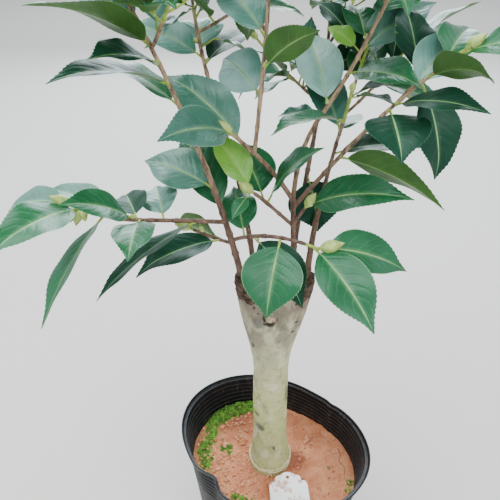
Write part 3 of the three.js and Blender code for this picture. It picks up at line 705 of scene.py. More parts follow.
class Shrub:
    """Grows the boughs and the masses by the rule of the part's source, and carries them finer."""

    bare_below = 660.0
    bare_before = 50.0

    def __init__(self) -> None:
        """Grow everything."""
        self.thicket = Thicket()
        self.boughs = self._grow_boughs()
        self.thicket.limbs += self._stem_limbs() + list(self.boughs.values())
        self.masses = [self._grow_main(plan) for plan in MASSES]
        self._write_leaves()
        for mass in self.masses:
            self._rule(mass)
        self.spurs = [self._fine_shoots(mass) for mass in self.masses]

    def _grow_boughs(self) -> dict[str, Limb]:
        """Grow the boughs from the head and from each other.

        Returns:
            The boughs by name.
        """
        grown: dict[str, Limb] = {}
        for plan in BOUGHS:
            on, at = plan.root
            if on in grown:
                start, azimuth, rise = grown[on].at(at)
                if at == 1:
                    start = start + heading(azimuth, rise) * GAP
            else:
                start = np.array([on, at, STEM.foot + STEM.height - STEM.lobe], float)
            grown[plan.name] = grow_limb(start, plan.azimuth, plan.rise, plan.length, plan.bow, plan.swing,
                                         plan.radii)
        return grown

    @staticmethod
    def _stem_limbs() -> list[Limb]:
        """Give the old stem as plain limbs side by side.

        Returns:
            The limbs.
        """
        limbs = []
        heights = [share * STEM.height for share in (0.5, 0.75, 0.9, 1.0)]
        for side in (-1, 0, 1):
            points, radii = [], []
            for h in heights:
                width, depth, _ = STEM.size(h)
                points.append([STEM.x + STEM.middle(h) + side * (width - depth), 0, STEM.foot + h])
                radii.append(depth)
            limbs.append(Limb(np.array(points, float), np.array(radii), heights[-1] - heights[0]))
        return limbs

    def _grow_main(self, plan: MassPlan) -> Mass:
        """Grow a mass's stem on from its bough, with a bud's space at its tip.

        Args:
            plan: The mass's plan.

        Returns:
            The mass, with its stem alone.
        """
        tip, azimuth, rise = self.boughs[plan.bough].at(1)
        start = tip + heading(azimuth, rise) * GAP
        length, bow, swing = plan.stem
        main = grow_limb(start, azimuth, rise, length, bow, swing, (TWIG.root, TWIG.tip), plan.name)
        point, azimuth, rise = main.at(1)
        bud = np.array([point, point + heading(azimuth, rise) * BUD.length])
        self.thicket.limbs += [main, Limb(bud, np.full(2, BUD.radius), BUD.length, plan.name)]
        return Mass(plan, main, main.at(0.5)[0])

    def _write_leaves(self) -> None:
        """Set the leaves that the plant shows in their places, as near to each other as leaves may stand."""
        self.thicket.room = LEAF.near
        for mass in self.masses:
            for plan in mass.plan.leaves:
                host = self.boughs[plan.on] if plan.on else mass.main
                roll = plan.roll or light_roll(plan.azimuth, plan.rise)
                leaf = Leaf(host.at(plan.at)[0], plan.azimuth, plan.rise, plan.length, plan.width, roll,
                            plan.tint, True, mass.plan.name)
                mass.leaves += self.thicket.settle(leaf, LEAF.stir_written, mass.in_reach)
        self.thicket.room = LEAF.clearance
        for surface in self.thicket.leaves:
            self.thicket.keep_sight(surface.edges[:, 1])
        for bough in self.boughs.values():
            self.thicket.keep_sight(bough.points)

    def _rule(self, mass: Mass) -> None:
        """Grow a mass's twigs and the leaves that the rule gives them.

        Args:
            mass: The mass.
        """
        random = Stream(mass.plan.seed)
        mass.twigs = [mass.main, *self._rule_twigs(mass, random)]
        for i, twig in enumerate(mass.twigs):
            if i == 0 and mass.plan.bare:
                continue
            for leaf in self._rule_leaves(twig, ROW.start if i else mass.plan.start, random):
                mass.leaves += self.thicket.settle(leaf, LEAF.stir_ruled, mass.in_reach)

    def _rule_twigs(self, mass: Mass, random: Stream) -> list[Limb]:
        """Branch twigs from a mass's stem, and skip one that would touch a limb or a leaf.

        Args:
            mass: The mass.
            random: Stirs their places.

        Returns:
            The twigs.
        """
        count, start, length = mass.plan.twigs
        twigs = []
        for i in range(count):
            turn, tilt, size = random() - 0.5, random() - 0.5, random() - 0.5
            at = mix(start, BRANCH.last, i / max(1, count - 1))
            root, azimuth, _ = mass.main.at(at)
            azimuth += BRANCH.azimuth + ROW.turn * i + BRANCH.stir * turn
            rise = BRANCH.rise + BRANCH.rise_stir * tilt
            reach = length * (BRANCH.longest - BRANCH.shrink * at + BRANCH.length_stir * size)
            twig = grow_limb(root, azimuth, rise, reach, BRANCH.bow, 0, (TWIG.branch, TWIG.tip),
                             mass.plan.name)
            blocked = any(self.thicket.meets_limb(leaf, twig) for leaf in self.thicket.leaves)
            if blocked or not self.thicket.limbs_clear(twig.points[1:]):
                continue
            twigs.append(twig)
            self.thicket.limbs.append(twig)
        return twigs

    @staticmethod
    def _rule_leaves(twig: Limb, start: float, random: Stream) -> list[Leaf]:
        """Give the leaves round a twig, closer to its heading towards its tip.

        Args:
            twig: The twig.
            start: The share of its length from which leaves stand.
            random: Stirs them.

        Returns:
            The leaves as they are wanted.
        """
        count = int(twig.length * (1 - start) / ROW.spacing)
        leaves = []
        for i in range(count + 1):
            root, azimuth, rise = twig.at(mix(1, start, i / max(1, count)))
            spread = (ROW.tip_spread if i == 0 else mix(ROW.next_spread, 1, i / count)) * ROW.spread * DEG
            turn = (ROW.turn * i + ROW.wander * random()) * DEG
            tangent, up = heading(azimuth, rise), heading(azimuth, rise + 90)
            out = np.cross(tangent, up) * math.cos(turn) + up * math.sin(turn)
            aim = heading_of(tangent * math.cos(spread) + out * math.sin(spread))
            length = mix(*ROW.length, random())
            width = length * mix(*ROW.slim, random())
            roll = ROW.roll * (2 * random() - 1) + RULED_ROLL * light_roll(aim[0], aim[1] - ROW.droop)
            tint = ROW.tints[i % 4]
            leaves.append(Leaf(root, aim[0], aim[1] - ROW.droop, length, width, roll, tint, False,
                               twig.owner))
        return leaves

    def _fine_shoots(self, mass: Mass) -> list[Limb]:
        """Grow short side shoots with small young leaves, where there is room for them.

        Args:
            mass: The mass that they grow in.

        Returns:
            The shoots.
        """
        random = Stream(mass.plan.seed + 100)
        shoots = []
        for twig in mass.twigs:
            for _ in range(int(twig.length / SHOOT.spacing)):
                root, azimuth, _ = twig.at(random.between(*SHOOT.span))
                if root[2] < self.bare_below and root[1] < self.bare_before:
                    continue
                way = azimuth + random.between(*SHOOT.turn)
                length = random.between(*SHOOT.length)
                tint = SHOOT.tints[int(3 * random())] if random() > SHOOT.young else Tint.YOUNG
                shoot = grow_limb(root, way, random.between(*SHOOT.rise), length, SHOOT.bow, 0, SHOOT.radii,
                                  mass.plan.name)
                if not self.thicket.limbs_clear(shoot.points[-1:]):
                    continue
                kept = []
                for turn in SHOOT.leaf_turns:
                    size = random.between(*(SHOOT.young_length if tint is Tint.YOUNG else SHOOT.leaf_length))
                    size *= 1 if turn else SHOOT.end_share
                    leaf = Leaf(shoot.at(1)[0], way + turn + random.between(*SHOOT.leaf_stir),
                                random.between(*SHOOT.leaf_rise), size, size * random.between(*SHOOT.slim),
                                random.between(*SHOOT.roll), tint, False, mass.plan.name)
                    kept += self.thicket.settle(leaf, LEAF.stir_ruled, mass.in_reach)
                if kept:
                    mass.leaves += kept
                    shoots.append(shoot)
                    self.thicket.limbs.append(shoot)
        return shoots


# Meshes


class Stock:
    """Vertices, faces, material numbers and a UV map that gather into one mesh."""

    def __init__(self) -> None:
        """Start empty."""
        self.points: list[Array] = []
        self.quads: list[Array] = []
        self.slots: list[Array] = []
        self.uvs: list[Array] = []
        self.count = 0

    def add(self, points: Array, quads: Array, slots: Array | int = 0, uvs: Optional[Array] = None) -> None:
        """Add a shape.

        Args:
            points: Its vertices in millimetres.
            quads: Its faces, four vertices each. A face whose last two vertices are the same is a triangle.
            slots: The material number of each face, or of all.
            uvs: A UV place for each corner of each face.
        """
        self.points.append(points)
        self.quads.append(quads + self.count)
        self.slots.append(np.broadcast_to(np.asarray(slots), (len(quads),)))
        self.uvs.append(np.zeros((len(quads), 4, 2)) if uvs is None else uvs)
        self.count += len(points)

    def build(self, name: str, finishes: Sequence[Material], sharp: float = 50.0) -> Piece:
        """Make the object.

        Args:
            name: The object's name.
            finishes: Its materials in the order of the material numbers.
            sharp: The angle in degrees past which an edge is sharp.

        Returns:
            The object, at the origin.
        """
        points = np.concatenate(self.points) * MM
        quads = np.concatenate(self.quads)
        slots = np.concatenate(self.slots)
        uvs = np.concatenate(self.uvs)
        three = quads[:, 2] == quads[:, 3]
        sizes = np.where(three, 3, 4)
        keep = np.ones(quads.shape, bool)
        keep[three, 3] = False
        mesh = bpy.data.meshes.new(name)
        mesh.vertices.add(len(points))
        mesh.vertices.foreach_set("co", points.ravel())
        mesh.loops.add(int(sizes.sum()))
        mesh.loops.foreach_set("vertex_index", quads[keep])
        mesh.polygons.add(len(quads))
        mesh.polygons.foreach_set("loop_start", np.concatenate([[0], np.cumsum(sizes)[:-1]]))
        mesh.polygons.foreach_set("material_index", slots.astype(np.int32))
        mesh.uv_layers.new(name="shape").data.foreach_set("uv", uvs[keep].ravel())
        mesh.update(calc_edges=True)
        mesh.validate()
        for finish in finishes:
            mesh.materials.append(finish)
        piece = bpy.data.objects.new(name, mesh)
        bpy.context.scene.collection.objects.link(piece)
        smooth_piece(piece, sharp)
        return piece


def alone(piece: Piece) -> None:
    """Select one piece and nothing else.

    Args:
        piece: The piece.
    """
    bpy.ops.object.select_all(action="DESELECT")
    piece.select_set(True)
    bpy.context.view_layer.objects.active = piece


def smooth_piece(piece: Piece, sharp: float) -> None:
    """Shade a piece smooth, with edges past an angle kept sharp."""
    alone(piece)
    bpy.ops.object.shade_smooth_by_angle(angle=sharp * DEG)


@contextmanager
def editing() -> Iterator[None]:
    """Work on the active piece in edit mode, and leave that mode after it."""
    bpy.ops.object.mode_set(mode="EDIT")
    yield
    bpy.ops.object.mode_set(mode="OBJECT")


def start_disc(name: str, sides: int, radius: float) -> Piece:
    """Lay down a filled disc to shape a piece from.

    Args:
        name: The piece's name.
        sides: How many sides it has.
        radius: Its radius in metres.

    Returns:
        The disc, selected alone.
    """
    bpy.ops.object.select_all(action="DESELECT")
    bpy.ops.mesh.primitive_circle_add(vertices=sides, radius=radius, fill_type="NGON", location=(0, 0, 0))
    piece = bpy.context.object
    piece.name = piece.data.name = name
    return piece


def turn_outwards() -> None:
    """Turn the faces of the piece in edit mode outwards."""
    bpy.ops.mesh.select_all(action="SELECT")
    bpy.ops.mesh.normals_make_consistent(inside=False)


def hang(piece: Piece, slot: str, *nodes: str) -> Piece:
    """Fix a finished piece to the plant.

    Args:
        piece: The piece.
        slot: The record's slot; it is not used.
        nodes: The solids that it replaces.

    Returns:
        The piece.
    """
    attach(piece, "root")
    if nodes:
        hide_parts(*nodes)
    return piece


def curve_through(points: Array, spacing: float) -> tuple[Array, Array]:
    """Run a smooth curve through points.

    Args:
        points: The points.
        spacing: The distance between the curve's own points.

    Returns:
        The curve's points, and the place of each among the given points, from 0 up.
    """
    ends = np.concatenate([[2 * points[0] - points[1]], points, [2 * points[-1] - points[-2]]])
    out, places = [], []
    for i in range(len(points) - 1):
        p0, p1, p2, p3 = ends[i:i + 4]
        steps = max(1, round(float(np.linalg.norm(p2 - p1)) / spacing))
        for k in range(steps):
            t = k / steps
            out.append(0.5 * ((2 * p1) + (p2 - p0) * t + (2 * p0 - 5 * p1 + 4 * p2 - p3) * t * t
                              + (3 * p1 - p0 - 3 * p2 + p3) * t ** 3))
            places.append(i + t)
    return np.array(out + [points[-1]]), np.array(places + [len(points) - 1.0])


def grid_faces(ids: Array, flip: bool = False) -> Array:
    """Give the faces of a grid of vertex numbers row by row, and turn them over if asked."""
    a, b, c, d = ids[:-1, :-1], ids[:-1, 1:], ids[1:, 1:], ids[1:, :-1]
    return np.stack((b, a, d, c) if flip else (a, b, c, d), axis=-1).reshape(-1, 4)


def tube(stock: Stock, points: Array, radii: Array, sides: int, slots: Array | int = 0,
         relief: Optional[Array] = None) -> None:
    """Add a round limb with closed ends along points.

    Args:
        stock: Where it goes.
        points: Its middle line.
        radii: Its radius at each point.
        sides: How many sides it has.
        slots: The material number of each row of faces, or of all.
        relief: How far the surface stands out, for each row and side.
    """
    tangents = np.gradient(points, axis=0)
    tangents /= np.linalg.norm(tangents, axis=1)[:, None]
    side = np.cross(tangents[0], [0.3, 0.9, 0.31])
    turns = np.arange(sides) * 2 * math.pi / sides
    rows = []
    for i, tangent in enumerate(tangents):
        side = side - tangent * side.dot(tangent)
        side /= np.linalg.norm(side)
        ring = np.outer(np.cos(turns), side) + np.outer(np.sin(turns), np.cross(tangent, side))
        radius = radii[i] + (relief[i] if relief is not None else 0.0)
        rows.append(points[i] + ring * np.reshape(radius, (-1, 1)))
    n = len(points)
    ids = np.arange(n)[:, None] * sides + np.arange(sides + 1) % sides
    foot, tip = ids[0], ids[-1]
    low, high = np.full(sides, n * sides), np.full(sides, n * sides + 1)
    caps = [np.stack([foot[1:], foot[:-1], low, low], 1), np.stack([tip[:-1], tip[1:], high, high], 1)]
    if not np.isscalar(slots):
        slots = np.concatenate([np.repeat(slots[:n - 1], sides), np.repeat(slots[[0, -1]], sides)])
    cloud = np.concatenate([*rows, points[:1], points[-1:]])
    stock.add(cloud, np.concatenate([grid_faces(ids), *caps]), slots)


def spline(xs: Sequence[float], ys: Sequence[float], x: Array) -> Array:
    """Read a smooth curve through points.

    Args:
        xs: The points' places.
        ys: Their heights.
        x: The places to read.

    Returns:
        The heights there.
    """
    xs, ys = np.asarray(xs, float), np.asarray(ys, float)
    slopes = np.gradient(ys, xs)
    i = np.clip(np.searchsorted(xs, x, side="right") - 1, 0, len(xs) - 2)
    h = xs[i + 1] - xs[i]
    t = (x - xs[i]) / h
    return ((2 * t ** 3 - 3 * t * t + 1) * ys[i] + (t ** 3 - 2 * t * t + t) * h * slopes[i]
            + (3 * t * t - 2 * t ** 3) * ys[i + 1] + (t ** 3 - t * t) * h * slopes[i + 1])


# Finishes


class Graph:
    """A material's nodes, built by short calls. A value is a number, a colour or another node's socket."""

    def __init__(self, name: str) -> None:
        """Start a material with one shader.

        Args:
            name: The material's name.
        """
        self.material = bpy.data.materials.new(name)
        self.material.use_nodes = True
        self.tree = self.material.node_tree
        self.shader = self.tree.nodes["Principled BSDF"]

    def feed(self, socket: Socket, value: object) -> None:
        """Link a socket to another, or set its value.

        Args:
            socket: The socket.
            value: What it gets.
        """
        if isinstance(value, Socket):
            self.tree.links.new(value, socket)
        else:
            socket.default_value = value

    def node(self, kind: str, fed: dict, given: int | str = 0, **settings: object) -> Socket:
        """Add a node and give one of its outputs.

        Args:
            kind: Its type.
            fed: What its sockets get.
            given: The output.
            settings: Its settings.

        Returns:
            The output's socket.
        """
        made = self.tree.nodes.new(kind)
        for key, value in settings.items():
            setattr(made, key, value)
        for key, value in fed.items():
            self.feed(made.inputs[key], value)
        return made.outputs[given]

    def place(self, **fed: object) -> Socket:
        """Give Object coordinates, moved, turned or scaled."""
        seen = self.node("ShaderNodeTexCoord", {}, "Object")
        return self.node("ShaderNodeMapping", {"Vector": seen, **fed}, "Vector")

    def axis(self, number: int) -> Socket:
        """Give the place along one axis."""
        return self.node("ShaderNodeSeparateXYZ", {0: self.place()}, number)

    def noise(self, scale: float, detail: float = 3, rough: float = 0.55,
              stretch: tuple = (1, 1, 1)) -> Socket:
        """Give soft noise from 0 to 1: its patches to a metre, its finer layers and their strength."""
        fed = {"Scale": scale, "Detail": detail, "Roughness": rough, "Vector": self.place(Scale=stretch)}
        return self.node("ShaderNodeTexNoise", fed, "Fac")

    def math(self, operation: str, a: object, b: object = 0.0, c: object = 0.0) -> Socket:
        """Work out one step of arithmetic."""
        return self.node("ShaderNodeMath", {0: a, 1: b, 2: c}, operation=operation)

    def times(self, a: object, b: object) -> Socket:
        """Multiply two values."""
        return self.math("MULTIPLY", a, b)

    def ragged(self, scale: float, detail: float, rough: float, size: float) -> Socket:
        """Give noise on both sides of 0, to break up an edge."""
        return self.times(self.math("SUBTRACT", self.noise(scale, detail, rough), 0.5), size)

    def span(self, value: object, low: float, high: float, to: tuple = (0, 1)) -> Socket:
        """Map the range from low to high of a value smoothly to another range."""
        fed = dict(enumerate((value, low, high, *to)))
        return self.node("ShaderNodeMapRange", fed, "Result", interpolation_type="SMOOTHSTEP")

    def blend(self, share: object, a: object, b: object) -> Socket:
        """Blend two colours, by the second colour's share."""
        return self.node("ShaderNodeMix", {0: share, 6: a, 7: b}, 2, data_type="RGBA")

    def film(self, base: object, colour: tuple, strength: float, pattern: tuple, low: float, high: float,
             where: object = 1.0) -> Socket:
        """Lay a colour over another in patches of noise, from where it starts to show to where it is full."""
        share = self.times(self.span(self.noise(*pattern), low, high), where)
        return self.blend(self.times(share, strength), base, colour)

    def bump(self, height: object, distance: float) -> None:
        """Give the surface a relief of a depth in metres."""
        normal = self.node("ShaderNodeBump", {"Distance": distance, "Height": height}, "Normal")
        self.feed(self.shader.inputs["Normal"], normal)

    def paint(self, colour: object, rough: object, **fixed: object) -> Material:
        """Finish the shader.

        Args:
            colour: Its colour.
            rough: Its roughness.
            fixed: Values of its other sockets.

        Returns:
            The material.
        """
        for key, value in {"Base_Color": colour, "Roughness": rough, **fixed}.items():
            self.feed(self.shader.inputs[key.replace("_", " ")], value)
        return self.material


def rgb(r: float, g: float, b: float) -> tuple[float, float, float, float]:
    """Turn screen colours from 0 to 255 into shader colours."""
    return (*(((c / 255 + 0.055) / 1.055) ** 2.4 if c > 10 else c / 255 / 12.92 for c in (r, g, b)), 1.0)


@dataclass(frozen=True)
class LeafFinish:
    """A leaf's face: its colour, its paler veins and edge, its gloss and a painted sheen in pale soft
    patches.
    """

    name: str
    colour: tuple
    vein: tuple
    rough: float = 0.22
    gloss: float = 0.8
    veined: float = 0.25
    relief: float = 0.00012
    painted_sheen: float = 0.0
    sheen: tuple = (0.66, 0.98, 0.88, 1.0)
    shade: float = 0.78
    veins: float = 7.5
    middle: float = 0.22
    edge: float = 0.5
    painted_sheen_colour: tuple = rgb(190, 222, 222)

    def build(self) -> Material:
        """Make the material. Veins lean forward from the rib, by the blade's own map.

        Returns:
            The material.
        """
        g = Graph(self.name)
        uv = g.node("ShaderNodeUVMap", {}, "UV", uv_map="shape")
        along, side = (g.node("ShaderNodeSeparateXYZ", {0: uv}, i) for i in range(2))
        across = g.math("ABSOLUTE", g.math("MULTIPLY_ADD", side, 2.0, -1.0))
        lean = g.times(g.math("POWER", across, 1.35), 2.0)
        step = g.math("SUBTRACT", g.math("MULTIPLY_ADD", along, self.veins, g.ragged(60, 2, 0.55, 0.9)), lean)
        wave = g.math("ABSOLUTE", g.math("SUBTRACT", g.math("FRACT", step), 0.5))
        vein = g.times(g.span(wave, 0.04, 0.0), g.span(across, 0.9, 0.4))
        shaded = (*(c * self.shade for c in self.colour[:3]), 1.0)
        colour = g.blend(g.span(g.noise(45, 3), 0.32, 0.7), self.colour, shaded)
        # Painted sheen: a pale film in soft patches that stands in for the sky's reflection.
        if self.painted_sheen:
            colour = g.film(colour, self.painted_sheen_colour, self.painted_sheen, (19, 2), 0.42, 0.66)
        colour = g.blend(g.times(vein, self.veined), colour, self.vein)
        colour = g.blend(g.times(g.span(across, 0.2, 0.02), self.middle), colour, self.vein)
        colour = g.blend(g.times(g.span(across, 0.955, 0.99), self.edge), colour, self.vein)
        net = g.node("ShaderNodeTexVoronoi", {"Scale": 420, "Vector": g.place()}, "Distance",
                     feature="DISTANCE_TO_EDGE")
        quilt = g.times(g.span(wave, 0.0, 0.32), g.span(across, 1.0, 0.55))
        g.bump(g.math("ADD", quilt, g.times(g.span(net, 0.0, 0.16), 0.22)), self.relief)
        rough = g.span(g.noise(40, 2, 0.5), 0.38, 0.64, (self.rough, self.rough + 0.16))
        return g.paint(colour, rough, Specular_IOR_Level=self.gloss, Specular_Tint=self.sheen)


@dataclass(frozen=True)
class PlainFinish:
    """A finish of two colours in soft patches, with a fine relief."""

    name: str
    light: tuple
    dark: tuple
    size: float
    rough: float
    relief: float = 0.0
    grain: float = 900
    gloss: float = 0.4
    stretch: tuple = (1, 1, 1)

    def build(self) -> Material:
        """Make the material.

        Returns:
            The material.
        """
        g = Graph(self.name)
        colour = g.film(self.light, self.dark, 1.0, (self.size, 4, 0.55, self.stretch), 0.35, 0.68)
        if self.relief:
            g.bump(g.noise(self.grain, 3, stretch=self.stretch), self.relief)
        return g.paint(colour, self.rough, Specular_IOR_Level=self.gloss)


@dataclass(frozen=True)
class ShootFinish:
    """A bough's smooth brown bark, with fine streaks and pale pores, greyer and paler towards the top."""

    name: str = "shoot_brown"
    light: tuple = rgb(116, 88, 72)
    dark: tuple = rgb(56, 40, 35)
    high: tuple = rgb(176, 146, 116)
    pore: tuple = rgb(186, 170, 146)

    def build(self) -> Material:
        """Make the material.

        Returns:
            The material.
        """
        g = Graph(self.name)
        up = g.math("ADD", g.axis(2), g.times(g.noise(40, 2), 0.1))
        base = g.blend(g.span(up, 0.53, 0.64), self.light, self.high)
        base = g.film(base, self.dark, 0.8, (260, 4, 0.65, (1, 1, 0.22)), 0.42, 0.64)
        base = g.film(base, self.pore, 0.55, (620, 3, 0.6, (1, 1, 0.5)), 0.62, 0.7)
        g.bump(g.noise(760, 3, 0.6, (1, 1, 0.4)), 0.0004)
        return g.paint(base, 0.6, Specular_IOR_Level=0.35)


@dataclass(frozen=True)
class Mark:
    """A stain, scar or painted shade on the old stem's front: its middle, half sizes, colour, strength and
    lean.
    """

    x: float
    z: float
    wide: float
    high: float
    colour: tuple
    strength: float = 0.8
    lean: float = 0.0

    def share(self, g: Graph, ragged: Socket) -> Socket:
        """Give how strongly the mark shows at each place.

        Args:
            g: The material's nodes.
            ragged: Breaks up its edge.

        Returns:
            A share from 0 to the mark's strength.
        """
        scale = [1 / (r * MM) for r in (self.wide, 30.0, self.high)]
        turn = Matrix.Rotation(self.lean * DEG, 3, "Y")
        centre = turn @ Vector((self.x * scale[0], -18.0 * scale[1], self.z * scale[2])) * MM
        near = g.place(Scale=scale, Rotation=(0, self.lean * DEG, 0), Location=-centre)
        away = g.math("ADD", g.node("ShaderNodeVectorMath", {0: near}, "Value", operation="LENGTH"), ragged)
        return g.times(g.span(away, 1.25, 0.55), self.strength)


@dataclass(frozen=True)
class StemFinish:
    """The old stem's bark: grey beige above, olive green below, with stains, wrinkles, scars and painted
    shade.
    """

    name: str = "old_bark"
    marks: tuple = (
        Mark(-16, 217, 5.5, 5, (58, 62, 54), 0.75), Mark(-21, 234, 4, 3, (78, 80, 62), 0.7),
        Mark(13, 264, 2.6, 13, (96, 92, 74), 0.7), Mark(16, 272, 1.6, 7, (206, 204, 184), 0.6),
        Mark(0, 186, 1.5, 2.4, (70, 70, 56)), Mark(-24, 388, 1.8, 2.2, (52, 46, 42)),
        Mark(-20, 381, 1.6, 1.6, (60, 54, 48)), Mark(20, 368, 2.0, 2.0, (50, 46, 44)),
        Mark(16, 355, 1.9, 2.2, (56, 52, 46)), Mark(-25, 334, 1.8, 3.2, (66, 62, 54)),
        # Painted shade: the first mark below, a grey patch left of the knob.
        Mark(-19, 369, 6.5, 8.5, (92, 90, 88), 0.75), Mark(4, 350, 9, 7, (112, 108, 98), 0.6),
        Mark(-33, 398, 9, 12, (108, 92, 80), 0.6), Mark(24, 394, 10, 12, (112, 94, 84), 0.6),
        # The knob: a cream top with brown bits, a painted shadow below it and painted shade on its left and
        # right sides.
        Mark(-7, 378.5, 4.2, 3.8, (206, 184, 144), 0.85), Mark(-8.2, 368.9, 5.6, 3.0, (38, 30, 28), 0.95, 14),
        Mark(-13.4, 375, 2.2, 6.4, (44, 36, 34), 0.9), Mark(-0.6, 375, 1.5, 3.6, (84, 70, 60), 0.7),
        Mark(-5.4, 377.2, 1.5, 2.4, (112, 84, 60), 0.8), Mark(-9.2, 379.6, 1.0, 1.2, (128, 98, 70), 0.7),
    )

    def build(self) -> Material:
        """Make the material.

        Returns:
            The material.
        """
        g = Graph(self.name)
        up = g.math("ADD", g.axis(2), g.times(g.noise(22, 2), 0.07))
        wrinkles = (95, 3, 0.6, (0.5, 0.5, 4.5))
        base = g.blend(g.span(up, 0.27, 0.38), rgb(188, 188, 130), rgb(186, 182, 150))
        base = g.blend(g.times(g.span(up, 0.385, 0.445), 0.8), base, rgb(150, 134, 116))
        base = g.film(base, rgb(214, 208, 178), 0.65, (48, 5, 0.68, (1, 1, 0.8)), 0.48, 0.64)
        base = g.film(base, rgb(118, 116, 86), 0.5, (120, 5, 0.7, (1, 1, 0.7)), 0.5, 0.66)
        grime = g.span(up, 0.3, 0.4, (0.32, 0.78))
        base = g.film(base, rgb(86, 80, 70), 1.0, (34, 6, 0.75), 0.56, 0.7, grime)
        high = g.span(up, 0.325, 0.4)
        base = g.film(base, rgb(116, 106, 94), 0.78, (62, 6, 0.8, (1, 1, 0.55)), 0.37, 0.57, high)
        base = g.film(base, rgb(120, 116, 88), 0.3, wrinkles, 0.56, 0.7)
        base = g.film(base, rgb(96, 90, 72), 0.4, (520, 4, 0.7), 0.58, 0.68)
        ragged = g.ragged(130, 6, 0.8, 2.4)
        for mark in self.marks:
            base = g.blend(mark.share(g, ragged), base, rgb(*mark.colour))
        g.bump(g.math("ADD", g.noise(420, 4, 0.65, (1, 1, 0.6)), g.times(g.noise(*wrinkles), 0.8)), 0.0011)
        return g.paint(base, 0.82, Specular_IOR_Level=0.25)


@dataclass(frozen=True)
class PotFinish:
    """Thin black plastic with dust in soft streaks and pale scratches."""

    name: str = "pot_plastic"

    def build(self) -> Material:
        """Make the material.

        Returns:
            The material.
        """
        g = Graph(self.name)
        up = g.axis(2)
        facing = g.node("ShaderNodeNewGeometry", {}, "Normal")
        facing_up = g.node("ShaderNodeSeparateXYZ", {0: facing}, 2)
        base = g.film(rgb(9, 12, 18), rgb(46, 47, 48), 0.2, (30, 5, 0.65), 0.45, 0.72)
        base = g.film(base, rgb(98, 82, 64), 0.14, (60, 5, 0.7), 0.4, 0.62, g.span(up, 0.172, 0.142))
        base = g.film(base, rgb(96, 98, 100), 0.08, (150, 4, 0.7), 0.42, 0.6, g.span(facing_up, 0.25, 0.8))
        base = g.film(base, rgb(104, 92, 80), 0.5, (260, 5, 0.75, (1, 1, 0.1)), 0.58, 0.68)
        base = g.film(base, rgb(150, 148, 142), 0.5, (240, 5, 0.75, (0.16, 0.16, 1.6)), 0.64, 0.73)
        g.bump(g.noise(900, 3), 0.00015)
        dull = g.math("MULTIPLY_ADD", g.noise(50, 3), 0.24, 0.34)
        rough = g.math("SUBTRACT", dull, g.times(g.span(up, 0.181, 0.186), 0.12))
        return g.paint(base, rough, Specular_IOR_Level=0.22)


@dataclass(frozen=True)
class ClayFinish:
    """Dry red clay: patches from pale orange to dark red brown, a damp hollow, a green film and grains."""

    name: str = "red_clay"
    hollow: tuple = (0.027, 0.0, 0.142)

    def build(self) -> Material:
        """Make the material.

        Returns:
            The material.
        """
        g = Graph(self.name)
        x, y = g.axis(0), g.axis(1)
        base = g.film(rgb(206, 141, 104), rgb(178, 108, 76), 1.0, (42, 5, 0.65), 0.35, 0.68)
        damp = g.times(g.times(g.span(y, 0.02, 0.075), g.span(x, 0.0, -0.03)), g.noise(50, 4))
        base = g.blend(g.times(damp, 1.1), base, rgb(104, 50, 40))
        base = g.film(base, rgb(134, 78, 58), 0.45, (110, 6, 0.8), 0.54, 0.72)
        base = g.film(base, rgb(224, 186, 156), 0.6, (330, 4, 0.7), 0.58, 0.7)
        pit = g.node("ShaderNodeVectorMath", {0: g.place(), 1: self.hollow}, "Value", operation="DISTANCE")
        away = g.math("ADD", pit, g.ragged(150, 6, 0.8, 0.03))
        base = g.blend(g.times(g.span(away, 0.02, 0.008), 0.7), base, rgb(116, 58, 46))
        base = g.film(base, rgb(118, 128, 62), 0.6, (130, 5, 0.75), 0.45, 0.6, g.span(x, -0.05, -0.08))
        g.bump(g.noise(520, 6, 0.75), 0.0014)
        return g.paint(base, 0.95, Specular_IOR_Level=0.15)


@dataclass(frozen=True)
class TagFinish:
    """Blank white plastic with smears of clay."""

    name: str = "tag_plastic"
    smears: tuple = (88, 6, 0.78)

    def build(self) -> Material:
        """Make the material.

        Returns:
            The material.
        """
        g = Graph(self.name)
        base = g.film(rgb(255, 252, 251), rgb(214, 138, 98), 0.8, self.smears, 0.535, 0.6)
        base = g.film(base, rgb(150, 96, 70), 0.7, (330, 3, 0.6), 0.66, 0.72)
        g.bump(g.times(g.span(g.noise(*self.smears), 0.535, 0.6), 0.8), 0.0003)
        return g.paint(base, 0.45, Specular_IOR_Level=0.4)


